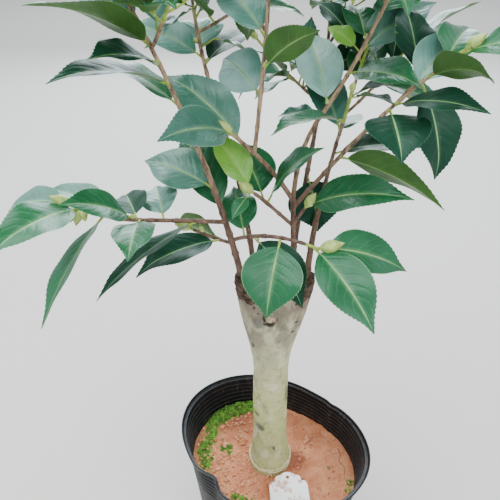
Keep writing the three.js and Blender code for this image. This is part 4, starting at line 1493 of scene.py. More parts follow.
class Palette:
    """All the materials, made once."""

    def __init__(self) -> None:
        """Make the materials."""
        self.tops = [finish.build() for finish in (
            LeafFinish("leaf_mature", rgb(30, 94, 56), rgb(128, 176, 118), gloss=0.45),
            LeafFinish("leaf_deep", rgb(20, 60, 42), rgb(84, 130, 98), 0.28, 0.22, 0.18),
            LeafFinish("leaf_blue", rgb(50, 104, 86), rgb(150, 186, 160), 0.24, 0.8, 0.2, painted_sheen=0.1),
            LeafFinish("leaf_young", rgb(112, 168, 58), rgb(190, 212, 112), 0.3, 0.5, 0.3),
            # Pale leaves: a paler colour that stands in partly for the sky's sheen, and the most painted
            # sheen.
            LeafFinish("leaf_pale", rgb(82, 136, 122), rgb(184, 214, 192), 0.26, 0.9, 0.24, painted_sheen=0.38))]
        self.rib = PlainFinish("leaf_rib", rgb(140, 178, 112), rgb(104, 150, 88), 60, 0.4).build()
        self.under = LeafFinish("leaf_under", rgb(66, 104, 44), rgb(120, 152, 74), 0.45, 0.4, 0.3).build()
        self.under_young = LeafFinish("leaf_under_young", rgb(104, 142, 58), rgb(164, 186, 100), 0.45,
                                      0.4).build()
        self.shoot_old = ShootFinish().build()
        self.shoot_new = PlainFinish("shoot_green", rgb(162, 186, 74), rgb(126, 142, 62), 120, 0.5,
                                     0.0002).build()
        self.bud = PlainFinish("bud_scale", rgb(182, 200, 118), rgb(142, 172, 82), 160, 0.5, 0.0002).build()
        self.bud_tip = PlainFinish("bud_tip", rgb(200, 190, 130), rgb(150, 130, 80), 260, 0.6).build()
        self.stem = StemFinish().build()
        self.cut = PlainFinish("cut_wood", rgb(104, 84, 72), rgb(48, 38, 34), 150, 0.9, 0.0012, 500, 0.15,
                               (1, 1, 2.4)).build()
        self.pot = PotFinish().build()
        self.clay = ClayFinish().build()
        self.crumb = PlainFinish("clay_crumb", rgb(208, 150, 116), rgb(168, 104, 76), 220, 0.95,
                                 0.0008).build()
        self.moss = PlainFinish("moss_tuft", rgb(118, 172, 62), rgb(62, 108, 40), 170, 0.9, 0.0006, 1400,
                                0.2).build()
        self.moss_dark = PlainFinish("moss_shade", rgb(92, 112, 56), rgb(54, 70, 36), 120, 0.95,
                                     0.0006).build()
        self.tag = TagFinish().build()
        self.string = PlainFinish("pale_string", rgb(222, 216, 172), rgb(186, 178, 132), 400, 0.7,
                                  0.0002).build()


# Pieces of the plant


@dataclass
class Leaves:
    """Builds a mass's leaves: thin closed blades with a toothed edge, a fold, a wave and a twist.

    Where two values stand side by side, the second is for a leaf that is written down.
    """

    RIB = len(Tint)
    UNDER = len(Tint) + 1
    UNDER_YOUNG = len(Tint) + 2
    palette: Palette
    half_thickness: float = 0.28
    rib_depth: float = 0.5
    tooth: float = 0.55
    tooth_lean: float = 0.7
    curl_from: float = 0.66
    foot_overlap: float = 1.5
    rows: tuple = (28, 48)
    bends: tuple = (12, 5)
    waves: tuple = ((0.6, 1.8), (0.5, 1.3))
    ripples: tuple = (11, 17)
    curls: tuple = (-1, 5)
    twists: tuple = (-16, 16)
    columns: tuple = (-1.0, -0.66, -0.32, -0.03, 0.03, 0.32, 0.66, 1.0)
    outline: tuple = ((0, 0.04), (0.05, 0.3), (0.14, 0.66), (0.27, 0.92), (0.4, 1.0), (0.53, 0.95),
                      (0.66, 0.75), (0.77, 0.48), (0.86, 0.25), (0.93, 0.12), (1.0, 0.0))

    def build(self, mass: Mass) -> Piece:
        """Join a mass's leaves into one piece.

        Args:
            mass: The mass.

        Returns:
            The piece.
        """
        stock = Stock()
        random = Stream(mass.plan.seed + 500)
        for leaf in mass.leaves:
            self._blade(stock, leaf, *self._surface(leaf, random))
        finishes = [*self.palette.tops, self.palette.rib, self.palette.under, self.palette.under_young]
        piece = stock.build(mass.plan.name.replace("foliage", "leaves"), finishes)
        return hang(piece, "foliage", mass.plan.name)

    def _surface(self, leaf: Leaf, random: Stream) -> tuple[Array, Array, Array, Array]:
        """Shape the middle surface of a blade.

        Args:
            leaf: The leaf.
            random: Gives the leaf's own waves and twist.

        Returns:
            Each row's place along the blade, half width and outward direction, and the grid of points.
        """
        rows, bend = self.rows[leaf.written], self.bends[leaf.written]
        start = LEAF.petiole - self.foot_overlap
        shares = np.linspace(0, 1, rows + 1)
        sag = LEAF.sag + random.between(-bend, bend)
        middles, sides, faces = leaf.frames(start + shares * (leaf.length - start), sag)
        half = np.maximum(spline(*zip(*self.outline), shares), 0) * leaf.width / 2
        tooth = np.where(np.arange(rows + 1) % 2 == 0, -0.5, 0.5) * self.tooth
        tooth = tooth * np.minimum(1, half / 5) * (shares > 0.08)
        wave = random.between(*self.waves[leaf.written])
        phase, twist = random.between(0, 6.28), random.between(*self.twists) * DEG
        ripple = random.between(*self.ripples)
        curl = random.between(*self.curls) * (leaf.length / 90)
        curled = np.maximum(0, (shares - self.curl_from) / (1 - self.curl_from)) ** 2
        middles = middles - faces * (curl * curled)[:, None]
        ahead = np.cross(faces, sides) * ((tooth > 0) * self.tooth_lean)[:, None]
        fold = LEAF.fold * DEG
        columns = []
        for across in self.columns:
            at_edge = abs(across) == 1
            out = across * (half + tooth * at_edge)
            lift = np.abs(out) * np.sin(fold * np.minimum(1, 0.5 + shares)) * (1.3 - 0.42 * abs(across))
            waved = np.sin(shares * ripple + phase + (2.2 if across > 0 else 0))
            lift = lift + wave * waved * across * across * np.minimum(1, half / 8)
            lift = lift + out * np.sin(twist * (shares - 0.5))
            columns.append(middles + sides * (out * math.cos(fold))[:, None] + faces * lift[:, None]
                           + ahead * at_edge)
        return shares, half, faces, np.stack(columns, axis=1)

    def _blade(self, stock: Stock, leaf: Leaf, shares: Array, half: Array, faces: Array, grid: Array) -> None:
        """Add one leaf's blade as a thin closed body.

        Args:
            stock: Where it goes.
            leaf: The leaf.
            shares: Each row's place along the blade.
            half: Each row's half width.
            faces: Each row's direction out of the face.
            grid: The points of its middle surface.
        """
        n, m = grid.shape[:2]
        rib = m // 2 - 1
        thick = (faces * (self.half_thickness * np.minimum(1, half / 3))[:, None])[:, None]
        top, low = grid.copy(), grid.copy()
        top[:, 1:-1] += thick
        low[:, 1:-1] -= thick
        low[:, rib:rib + 2] -= (faces * (self.rib_depth * np.minimum(1, half / 4))[:, None])[:, None]
        up = np.arange(n * m).reshape(n, m)
        down = up.copy()
        down[:, 1:-1] = n * m + np.arange(n * (m - 2)).reshape(n, m - 2)
        foot = grid_faces(np.stack([down[0], up[0]]))
        foot[:rib] = np.roll(foot[:rib], -1, axis=1)
        foot[rib:] = np.roll(foot[rib:], 1, axis=1)
        quads = np.concatenate([grid_faces(up), grid_faces(down, True), foot])
        slots = []
        for slot in (leaf.tint.value, self.UNDER_YOUNG if leaf.tint is Tint.YOUNG else self.UNDER):
            strip = np.full(m - 1, slot)
            strip[rib] = self.RIB
            slots.append(np.tile(strip, n - 1))
        across = 0.5 + 0.5 * np.array(self.columns)
        places = np.stack(np.broadcast_arrays(shares[:, None], across), axis=-1)
        uvs = np.concatenate([places.reshape(-1, 2), places[:, 1:-1].reshape(-1, 2)])[quads]
        cloud = np.concatenate([top.reshape(-1, 3), low[:, 1:-1].reshape(-1, 3)])
        stock.add(cloud, quads, np.concatenate([*slots, np.full(m - 1, self.RIB)]), uvs)


@dataclass
class Wood:
    """Builds the boughs, and the twigs, petioles and buds of the masses."""

    palette: Palette
    bough_knots: float = 24.0
    twig_knots: float = 19.0
    knot_swell: float = 0.28
    knot_width: float = 1.8
    bough_relief: float = 0.22
    twig_relief: float = 0.12
    foot_swell: float = 1.35
    shoot_green: float = 0.8
    twig_green: float = 0.45
    spur_green: float = 0.0
    petiole_radii: tuple = (1.25, 0.95)
    full_width: float = 34.0
    twig_bud: tuple = (0.55, 0.85)
    leaf_bud: tuple = (0.26, 0.4)
    leaf_bud_share: float = 0.4
    bud_fill: tuple = (0.98, 0.9)
    scales: int = 5
    scale_turn: float = 2.4
    profile: tuple = (0.42, 0.78, 0.98, 1.0, 0.9, 0.68, 0.36, 0.04)

    def limb(self, stock: Stock, limb: Limb, pitch: float, sides: int, green_from: float, rough: float,
             seed: float) -> None:
        """Add a limb with knots where leaves stand.

        Args:
            stock: Where it goes.
            limb: The limb.
            pitch: The distance between its knots.
            sides: How many sides it has.
            green_from: The share of its length past which it is green.
            rough: How far its bark stands out and in.
            seed: Makes its bark its own.
        """
        points, places = curve_through(limb.points, 2.4)
        shares = places / (len(limb.points) - 1)
        radii = np.interp(shares, np.linspace(0, 1, len(limb.radii)), limb.radii)
        for k in range(1, int(limb.length / pitch) + 1):
            away = (shares - k * pitch / limb.length) * limb.length
            radii = radii * (1 + self.knot_swell * np.exp(-(away / self.knot_width) ** 2))
        turns = np.arange(sides) * 2 * math.pi / sides
        ring = [(math.cos(t) * 1.2 + seed, math.sin(t) * 1.2) for t in turns]
        relief = np.array([[noise.noise(Vector((x, y, s * limb.length / 7))) for x, y in ring]
                           for s in shares]) * rough
        tube(stock, points, radii, sides, np.where(shares > green_from, 1, 0), relief)

    def twigs(self, mass: Mass, spurs: Sequence[Limb]) -> Piece:
        """Join a mass's twigs and petioles into one piece. Its shoot is brown, its twigs are half green.

        Args:
            mass: The mass.
            spurs: Its fine side shoots.

        Returns:
            The piece.
        """
        stock = Stock()
        twig_greens = [self.twig_green] * (len(mass.twigs) - 1)
        greens = [self.shoot_green, *twig_greens, *[self.spur_green] * len(spurs)]
        for i, (twig, green) in enumerate(zip([*mass.twigs, *spurs], greens)):
            self.limb(stock, twig, self.twig_knots, 8, green, self.twig_relief, mass.plan.seed + i * 3.7)
        for leaf in mass.leaves:
            middles, _, _ = leaf.frames(np.linspace(0, LEAF.petiole + 1, 6))
            radii = np.linspace(*self.petiole_radii, 6) * min(1, leaf.width / self.full_width)
            tube(stock, middles, radii, 6, 1)
        finishes = [self.palette.shoot_old, self.palette.shoot_new]
        return hang(stock.build(mass.plan.name.replace("foliage", "twigs"), finishes), "foliage")

    def buds(self, mass: Mass) -> Piece:
        """Join a mass's buds into one piece: one at each tip, those that show, and small ones at the leaves.

        Args:
            mass: The mass.

        Returns:
            The piece.
        """
        stock = Stock()
        random = Stream(mass.plan.seed + 900)
        shown = any(plan.at == 1 for plan in mass.plan.buds)
        for i, twig in enumerate(mass.twigs):
            if i == 0 and shown:
                continue
            point, azimuth, rise = twig.at(1)
            size = 1.0 if i == 0 else random.between(*self.twig_bud)
            way = heading(azimuth, rise)
            self._bud(stock, point - way, way, size, random)
        for plan in mass.plan.buds:
            way = heading(plan.azimuth, plan.rise)
            self._bud(stock, mass.main.at(plan.at)[0] + way, way, plan.size, random)
        for leaf in mass.leaves:
            if random() < self.leaf_bud_share:
                way = heading(leaf.azimuth + random.between(-12, 12), leaf.rise + 38)
                self._bud(stock, leaf.root + way * 1.2, way, random.between(*self.leaf_bud), random)
        finishes = [self.palette.bud, self.palette.bud_tip]
        return hang(stock.build(mass.plan.name.replace("foliage", "buds"), finishes, 60), "foliage")

    def _bud(self, stock: Stock, root: Array, way: Array, size: float, random: Stream) -> None:
        """Add one pointed bud with overlapping scales.

        Args:
            stock: Where it goes.
            root: Its foot.
            way: The direction that it points in.
            size: Its size, as a share of a full bud's.
            random: Turns its scales.
        """
        side = np.cross(way, [0.2, 0.5, 0.84])
        side /= np.linalg.norm(side)
        other = np.cross(way, side)
        length, radius = BUD.length * self.bud_fill[0] * size, BUD.radius * self.bud_fill[1] * size
        t = np.linspace(0, 1, len(self.profile))
        tube(stock, root + np.outer(t, way) * length, np.array(self.profile) * radius * 0.94, 8, 0)
        spin = random.between(0, 6.28)
        ids = np.arange(20).reshape(5, 4)
        ring = [*ids[0], *ids[1:, 3], *ids[4, 2::-1], *ids[3:0:-1, 0]]
        rim = [[b, a, a + 20, b + 20] for a, b in zip(ring, ring[1:] + ring[:1])]
        quads = np.concatenate([grid_faces(ids), grid_faces(ids + 20, True), rim])
        slots = np.repeat([0, 1, 0], [9, 3, len(quads) - 12])
        for k in range(self.scales):
            turn = spin + k * self.scale_turn
            start, end = 0.05 + 0.1 * k, min(1.0, 0.52 + 0.12 * k)
            outer, middles = [], []
            for share in np.linspace(0, 1, 5):
                u = mix(start, end, share)
                r = radius * float(np.interp(u, t, self.profile)) * (1.0 + 0.05 * (1 - share))
                wide = 1.15 * math.sin(math.pi * (0.18 + 0.8 * share)) ** 0.6
                middles += [root + way * (u * length)] * 4
                for across in (-1, -0.4, 0.4, 1):
                    a = turn + across * wide
                    lift = 1.0 + 0.06 * (1 - abs(across))
                    outer.append(middles[-1] + (side * math.cos(a) + other * math.sin(a)) * r * lift)
            outer = np.array(outer)
            front = np.repeat((outer[1::4] + outer[2::4]) / 2, 4, axis=0) - np.array(middles)
            stock.add(np.concatenate([outer, outer - front * 0.12]), quads, slots)

    def boughs(self, shrub: Shrub) -> list[Piece]:
        """Build each bough with its bark.

        Args:
            shrub: The shrub.

        Returns:
            The pieces.
        """
        pieces = []
        finishes = [self.palette.shoot_old, self.palette.shoot_new]
        for i, (name, limb) in enumerate(shrub.boughs.items()):
            stock = Stock()
            self.limb(stock, self._barked(limb), self.bough_knots, 14, 2.0, self.bough_relief, 11.3 * i)
            pieces.append(hang(stock.build(name.replace("bough", "shoot"), finishes), "bough", name))
        return pieces

    def _barked(self, limb: Limb) -> Limb:
        """Leave room for a bough's bark, and widen its foot where it stands on the old stem's head.

        Args:
            limb: The bough.

        Returns:
            The bough with its new radii.
        """
        radii = limb.radii * BARK_SHARE
        if limb.points[0][2] < STEM.foot + STEM.height:
            radii[0] *= self.foot_swell
        return Limb(limb.points, radii, limb.length)


@dataclass
class OldStem:
    """The thick old stem: a smooth bole that widens into a head with two lobes and a rough cut top."""

    palette: Palette
    sides: int = 112
    step: float = 1.7
    top_rings: int = 16
    ring_width: float = 0.058
    knob_x: float = -7.0
    knob_height: float = 236.0
    knob_radius: float = 6.4
    knob_rise: float = 6.5
    scar: tuple = (14.0, 96.0)
    cut_from: float = 248.0

    def build(self) -> Piece:
        """Build the stem with its relief, its cut top and its knob.

        Returns:
            The piece.
        """
        piece = start_disc("old_stem", self.sides, 1.0)
        rows = int(STEM.height / self.step)
        with editing():
            bpy.ops.mesh.select_all(action="SELECT")
            for _ in range(rows):
                bpy.ops.mesh.extrude_region_move(TRANSFORM_OT_translate={"value": (0, 0, 1.0)})
            for _ in range(self.top_rings):
                bpy.ops.mesh.inset(thickness=self.ring_width, depth=0)
            turn_outwards()
        self._shape(piece, rows)
        self._dress(piece)
        smooth_piece(piece, 60)
        return hang(piece, "stem", "stem")

    def _shape(self, piece: Piece, rows: int) -> None:
        """Move each point of the plain column to the stem's surface.

        Args:
            piece: The column, with a radius of 1 and rows 1 apart.
            rows: How many rows it has.
        """
        for vertex in piece.data.vertices:
            x, y, z = vertex.co
            radius = math.hypot(x, y)
            share = min(1.0, z / rows)
            height = STEM.height * share
            width, depth, head = STEM.size(height)
            ux, uy = (x / radius, y / radius) if radius > 1e-6 else (0.0, 0.0)
            inward = min(1.0, radius)
            waist = 1 - STEM.waist * head * (1 - ux * ux)
            lobe = head * head * (STEM.lobe * ux * ux * inward * inward - STEM.dish * (1 - inward ** 1.5))
            side = STEM.x + STEM.middle(height) + x * width
            p = Vector((side, y * depth * waist, STEM.foot + height + lobe))
            if share < 1 or radius > 0.98:
                p += Vector((ux, uy, 0)) * self._relief(p, height, uy)
            else:
                p.z += 1.6 * noise.noise(p / 5) + noise.noise(p / 1.8) - 1.2 * (1 - inward)
            vertex.co = p * MM

    def _relief(self, p: Vector, height: float, uy: float) -> float:
        """Give how far the bark stands out at a point of the stem.

        Args:
            p: The point.
            height: Its height above the soil.
            uy: Its depth, from -1 to 1.

        Returns:
            A distance in millimetres.
        """
        long = noise.noise(Vector((p.x / 13, p.y / 13, p.z / 60))) * 1.1
        wrinkle = noise.noise(Vector((p.x / 16, p.y / 16, p.z / 3.4))) * 0.28
        grain = noise.noise(Vector((p.x / 2.2, p.y / 2.2, p.z / 5))) * 0.16
        collar = 1.6 * smooth((height - 236) / 22) * (noise.noise(p / 6) + 0.4)
        knob = scar = 0.0
        if uy < 0:
            away = math.hypot(p.x - self.knob_x, height - self.knob_height) / self.knob_radius
            knob = self.knob_rise * math.exp(-(away / 0.85) ** 4)
            knob -= 2.0 * math.exp(-((away - 1.35) / 0.3) ** 2)
            scar = -1.1 * math.exp(-((p.x - self.scar[0]) ** 2 / 9 + (height - self.scar[1]) ** 2 / 60))
        return long + wrinkle + grain + knob + scar + collar

    def _dress(self, piece: Piece) -> None:
        """Give the stem its bark, and the cut top its own wood.

        Args:
            piece: The stem.
        """
        mesh = piece.data
        mesh.materials.append(self.palette.stem)
        mesh.materials.append(self.palette.cut)
        for polygon in mesh.polygons:
            c = polygon.center / MM
            height = c.z - STEM.foot
            top = height > self.cut_from and polygon.normal.z > 0.55
            rim = height > self.cut_from + 2 + 5 * noise.noise(c / 5) and abs(c.x - STEM.x) > 20
            polygon.material_index = int(top or rim)


@dataclass
class Pot:
    """A soft black nursery pot, pressed out of round, with mould ribs and a folded rim."""

    palette: Palette
    height: float = 190.0
    rim: float = 102.0
    base: float = 82.0
    chamfer: float = 2.0
    lip_out: float = 3.2
    lip_height: float = 6.0
    wall: float = 1.3
    rib_count: int = 6
    rib_top: float = 178.0
    rib_pitch: float = 6.0
    rib_depth: float = 0.9
    oval: float = 0.14
    oval_heading: float = 142.0
    oval_rise: float = 1.4
    bulge: tuple = (14.0, -120.0, 40.0)
    fold: tuple = (11.0, -139.0, 9.0)
    nick: tuple = (1.6, 33.0, 3.5)
    wave: float = 0.9
    slump: float = 1.2
    sides: int = 216

    def wall_radius(self, z: float) -> float:
        """Give the plain wall's radius at a height."""
        return mix(self.base, self.rim, z / self.height)

    @staticmethod
    def _near(angle: float, form: tuple) -> float:
        """Give how far a form moves the wall.

        Args:
            angle: The place round the wall.
            form: The form's size, heading and spread.

        Returns:
            A distance in millimetres.
        """
        size, middle, spread = form
        away = ((angle / DEG - middle + 540) % 360) - 180
        return size * math.exp(-((away / spread) ** 2))

    def pressed(self, x: float, y: float, z: float) -> tuple[float, float]:
        """Move a point of a round pot to where the soft wall is.

        Args:
            x: Its place to the side.
            y: Its place in depth.
            z: Its height.

        Returns:
            Its new places to the side and in depth.
        """
        radius = math.hypot(x, y)
        if radius < 1e-6:
            return x, y
        angle = math.atan2(y, x)
        share = (max(0.0, z) / self.height) ** self.oval_rise
        oval = self.oval * share * math.cos(2 * (angle - self.oval_heading * DEG))
        out = self._near(angle, self.bulge) - self._near(angle, self.fold)
        k = 1 + oval + share * share * out / self.rim
        return x * k, y * k

    def profile(self) -> list[tuple[float, float]]:
        """Draw the outer wall.

        Returns:
            Its radii and heights, from the foot to the lip.
        """
        steps = [(z, 0.0) for z in (self.chamfer, *np.linspace(8, 120, 15))]
        for i in reversed(range(self.rib_count)):
            z = self.rib_top - i * self.rib_pitch
            steps += [(z - 4.6, 0.0), (z - 1.6, 0.0), (z - 0.8, -self.rib_depth), (z, -self.rib_depth),
                      (z + 0.8, 0.0)]
        low = self.height - self.lip_height
        points = [(self.wall_radius(z) + out, z) for z, out in [*steps, (low, 0.0)]]
        foot = self.wall_radius(low)
        return points + [(foot + self.lip_out * 0.7, low + 0.5), (foot + self.lip_out, low + 1.4),
                         (self.wall_radius(self.height) + self.lip_out, self.height - 1.0)]

    def build(self) -> Piece:
        """Build the pot by drawing a disc up along the profile, then pressing and thickening it.

        Returns:
            The piece.
        """
        radius, z = self.base - self.chamfer, 0.0
        piece = start_disc("pot_shell", self.sides, radius * MM)
        with editing():
            bpy.ops.mesh.select_mode(type="EDGE")
            bpy.ops.mesh.select_all(action="SELECT")
            bpy.ops.mesh.delete(type="ONLY_FACE")
            bpy.ops.mesh.select_all(action="SELECT")
            for r, height in self.profile():
                bpy.ops.mesh.extrude_edges_move(TRANSFORM_OT_translate={"value": (0, 0, (height - z) * MM)})
                bpy.ops.transform.resize(value=(r / radius, r / radius, 1), center_override=(0, 0, 0))
                radius, z = r, height
        self._close_foot(piece)
        self._press(piece)
        alone(piece)
        with editing():
            turn_outwards()
        shell = piece.modifiers.new("wall", "SOLIDIFY")
        shell.thickness, shell.offset, shell.use_even_offset = self.wall * MM, -1, True
        bpy.ops.object.modifier_apply(modifier="wall")
        piece.data.materials.append(self.palette.pot)
        smooth_piece(piece, 42)
        return hang(piece, "pot", "pot")

    @staticmethod
    def _close_foot(piece: Piece) -> None:
        """Fill the foot with rings of faces.

        Args:
            piece: The open wall.
        """
        alone(piece)
        with editing():
            bpy.ops.mesh.select_all(action="DESELECT")
        for edge in piece.data.edges:
            edge.select = all(abs(piece.data.vertices[i].co.z) < 1e-6 for i in edge.vertices)
        with editing():
            bpy.ops.mesh.edge_face_add()
            for _ in range(6):
                bpy.ops.mesh.inset(thickness=0.012, depth=0)

    def _press(self, piece: Piece) -> None:
        """Press the round pot out of round, fold its rim in front and let its wall wave a little.

        Args:
            piece: The round pot.
        """
        for vertex in piece.data.vertices:
            x, y, z = vertex.co / MM
            x, y = self.pressed(x, y, z)
            radius = math.hypot(x, y)
            share = (z / self.height) ** 2
            angle = math.atan2(y, x)
            cos, sin = math.cos(angle), math.sin(angle)
            wave = self.wave * noise.noise(Vector((cos * 2.6, sin * 2.6, z / 70)))
            k = 1 + share * (wave - self._near(angle, self.nick)) / max(radius, 1)
            drop = self.slump * share * (noise.noise(Vector((cos * 1.7, sin * 1.7, 4))) - 1)
            vertex.co = Vector((x * k, y * k, min(self.height, z + drop))) * MM


@dataclass
class Soil:
    """The bed of red clay, with its clods and crumbs."""

    palette: Palette
    pot: Pot
    level: float = SOIL_LEVEL
    depth: float = 4.0
    rings: int = 60
    sides: int = 240
    lumps: tuple = ((1.9, 22), (0.9, 8), (0.45, 3.2))
    crumbs: int = 1300
    clear: float = 26.0
    thick_left_of: float = -18.0
    crumb_shares: tuple = (0.22, 0.9)
    clods: tuple = (
        (-65, 52, 3.0), (-59, 25, 3.4), (-46, 35, 3.0), (-51, 8, 2.6), (-73, 32, 2.8), (-55, -15, 2.4),
        (-40, 60, 2.8), (-52, 66, 2.4), (-34, 48, 2.2), (46, 33, 4.0), (51, 25, 3.2), (43, 28, 2.2),
    )
    threads: tuple = (((84, 18), (86, 8), (83, -3), (88, -13), (86, -26), (90, -36)),
                      ((70, 17), (78, 10), (85, 12)), ((62, 44), (70, 36), (74, 30)))

    def edge(self) -> float:
        """Give the bed's plain radius at its level."""
        return self.pot.wall_radius(self.level) - 1.4

    def pressed(self, x: float, y: float) -> tuple[float, float]:
        """Move a place on a round bed of radius 1 to where it is in the pressed pot."""
        return self.pot.pressed(x * self.edge(), y * self.edge(), self.level)

    def lift(self, x: float, y: float) -> float:
        """Give how high the bed stands above its level.

        Args:
            x: The place to the side.
            y: The place in depth.

        Returns:
            A height in millimetres.
        """
        p = Vector((x, y, 0))
        away = math.hypot(x + 3, y)
        rim = math.hypot(x, y) / self.edge()
        rough = sum(size * noise.noise(p / width) for size, width in self.lumps)
        left = smooth((-x - 15) / 40) * smooth((y + 30) / 50)
        rough += left * 1.2 * abs(noise.noise(p / 4.5 + Vector((9, 2, 0))))
        heap = 2.4 * math.exp(-((away - 24) / 9) ** 2) + 1.6 * smooth((rim - 0.82) / 0.18)
        back = 4.0 * smooth((y - 45) / 35) * smooth((20 - x) / 50)
        return rough + heap + back - 1.0

    def spot(self, x: float, y: float, above: float = 0.0) -> Array:
        """Give the point of the bed's surface at a place, or a little above it."""
        return np.array([x, y, self.level + self.lift(x, y) + above])

    def build(self) -> list[Piece]:
        """Build the bed, the crumbs that lie on it and the fine dead roots.

        Returns:
            The pieces.
        """
        piece = start_disc("soil_bed", self.sides, 1.0)
        with editing():
            bpy.ops.mesh.select_all(action="SELECT")
            for _ in range(self.rings):
                bpy.ops.mesh.inset(thickness=0.98 / self.rings, depth=0)
            bpy.ops.mesh.select_all(action="DESELECT")
        for vertex in piece.data.vertices:
            vertex.co = Vector(self.spot(*self.pressed(vertex.co.x, vertex.co.y))) * MM
        alone(piece)
        with editing():
            turn_outwards()
        if piece.data.polygons[0].normal.z < 0:
            piece.data.flip_normals()
        depth = piece.modifiers.new("depth", "SOLIDIFY")
        depth.thickness, depth.offset = self.depth * MM, -1
        bpy.ops.object.modifier_apply(modifier="depth")
        piece.data.materials.append(self.palette.clay)
        smooth_piece(piece, 70)
        return [hang(piece, "soil", "soil"), self._crumbs(), self._threads()]

    def _crumbs(self) -> Piece:
        """Scatter crumbs of clay, more of them on the left.

        Returns:
            The piece.
        """
        stock = Stock()
        random = Stream(77)
        made = 0
        while made < self.crumbs:
            x, y = random.between(-1, 1), random.between(-1, 1)
            if x * x + y * y > 0.98:
                continue
            px, py = self.pressed(x, y)
            if math.hypot(px + 3, py) < self.clear or random() > self.crumb_shares[px < self.thick_left_of]:
                continue
            size = 0.5 + 1.9 * random() ** 3
            add_pebble(stock, self.spot(px, py, size * 0.25), size, random)
            made += 1
        for x, y, size in self.clods:
            add_pebble(stock, self.spot(x, y, size * 0.2), size, random)
        return hang(stock.build("soil_crumbs", [self.palette.crumb], 60), "soil")

    def _threads(self) -> Piece:
        """Lay the fine dead roots that show on the clay.

        Returns:
            The piece.
        """
        stock = Stock()
        for thread in self.threads:
            points, _ = curve_through(np.array([self.spot(x, y, 0.2) for x, y in thread]), 2.0)
            points[:, 2] += 0.25 * np.sin(np.arange(len(points)) * 1.3)
            tube(stock, points, np.linspace(0.45, 0.25, len(points)), 5)
        return hang(stock.build("soil_root_threads", [self.palette.shoot_old], 60), "soil")


PEBBLE = np.array([[0, 0, 1], [0.9, 0, 0.45], [0.28, 0.85, 0.45], [-0.72, 0.53, 0.45], [-0.72, -0.53, 0.45],
                   [0.28, -0.85, 0.45], [0.72, 0.53, -0.45], [-0.28, 0.85, -0.45], [-0.9, 0, -0.45],
                   [-0.28, -0.85, -0.45], [0.72, -0.53, -0.45], [0, 0, -1]])
PEBBLE_FACES = np.array([[0, 1, 2], [0, 2, 3], [0, 3, 4], [0, 4, 5], [0, 5, 1], [1, 6, 2], [2, 7, 3],
                         [3, 8, 4], [4, 9, 5], [5, 10, 1], [2, 6, 7], [3, 7, 8], [4, 8, 9], [5, 9, 10],
                         [1, 10, 6], [11, 7, 6], [11, 8, 7], [11, 9, 8], [11, 10, 9],
                         [11, 6, 10]])[:, [0, 1, 2, 2]]


def add_pebble(stock: Stock, middle: Array, size: float, random: Stream) -> None:
    """Add one small rough lump.

    Args:
        stock: Where it goes.
        middle: Its middle.
        size: Its radius.
        random: Makes its shape its own.
    """
    stretch = [random.between(0.8, 1.3), random.between(0.8, 1.3), random.between(0.55, 0.95)]
    jag = np.array([random.between(0.8, 1.2) for _ in range(len(PEBBLE))])
    turn = random.between(0, 6.28)
    spin = np.array([[math.cos(turn), -math.sin(turn), 0], [math.sin(turn), math.cos(turn), 0], [0, 0, 1]])
    stock.add((PEBBLE * jag[:, None] * stretch * size) @ spin.T + middle, PEBBLE_FACES)


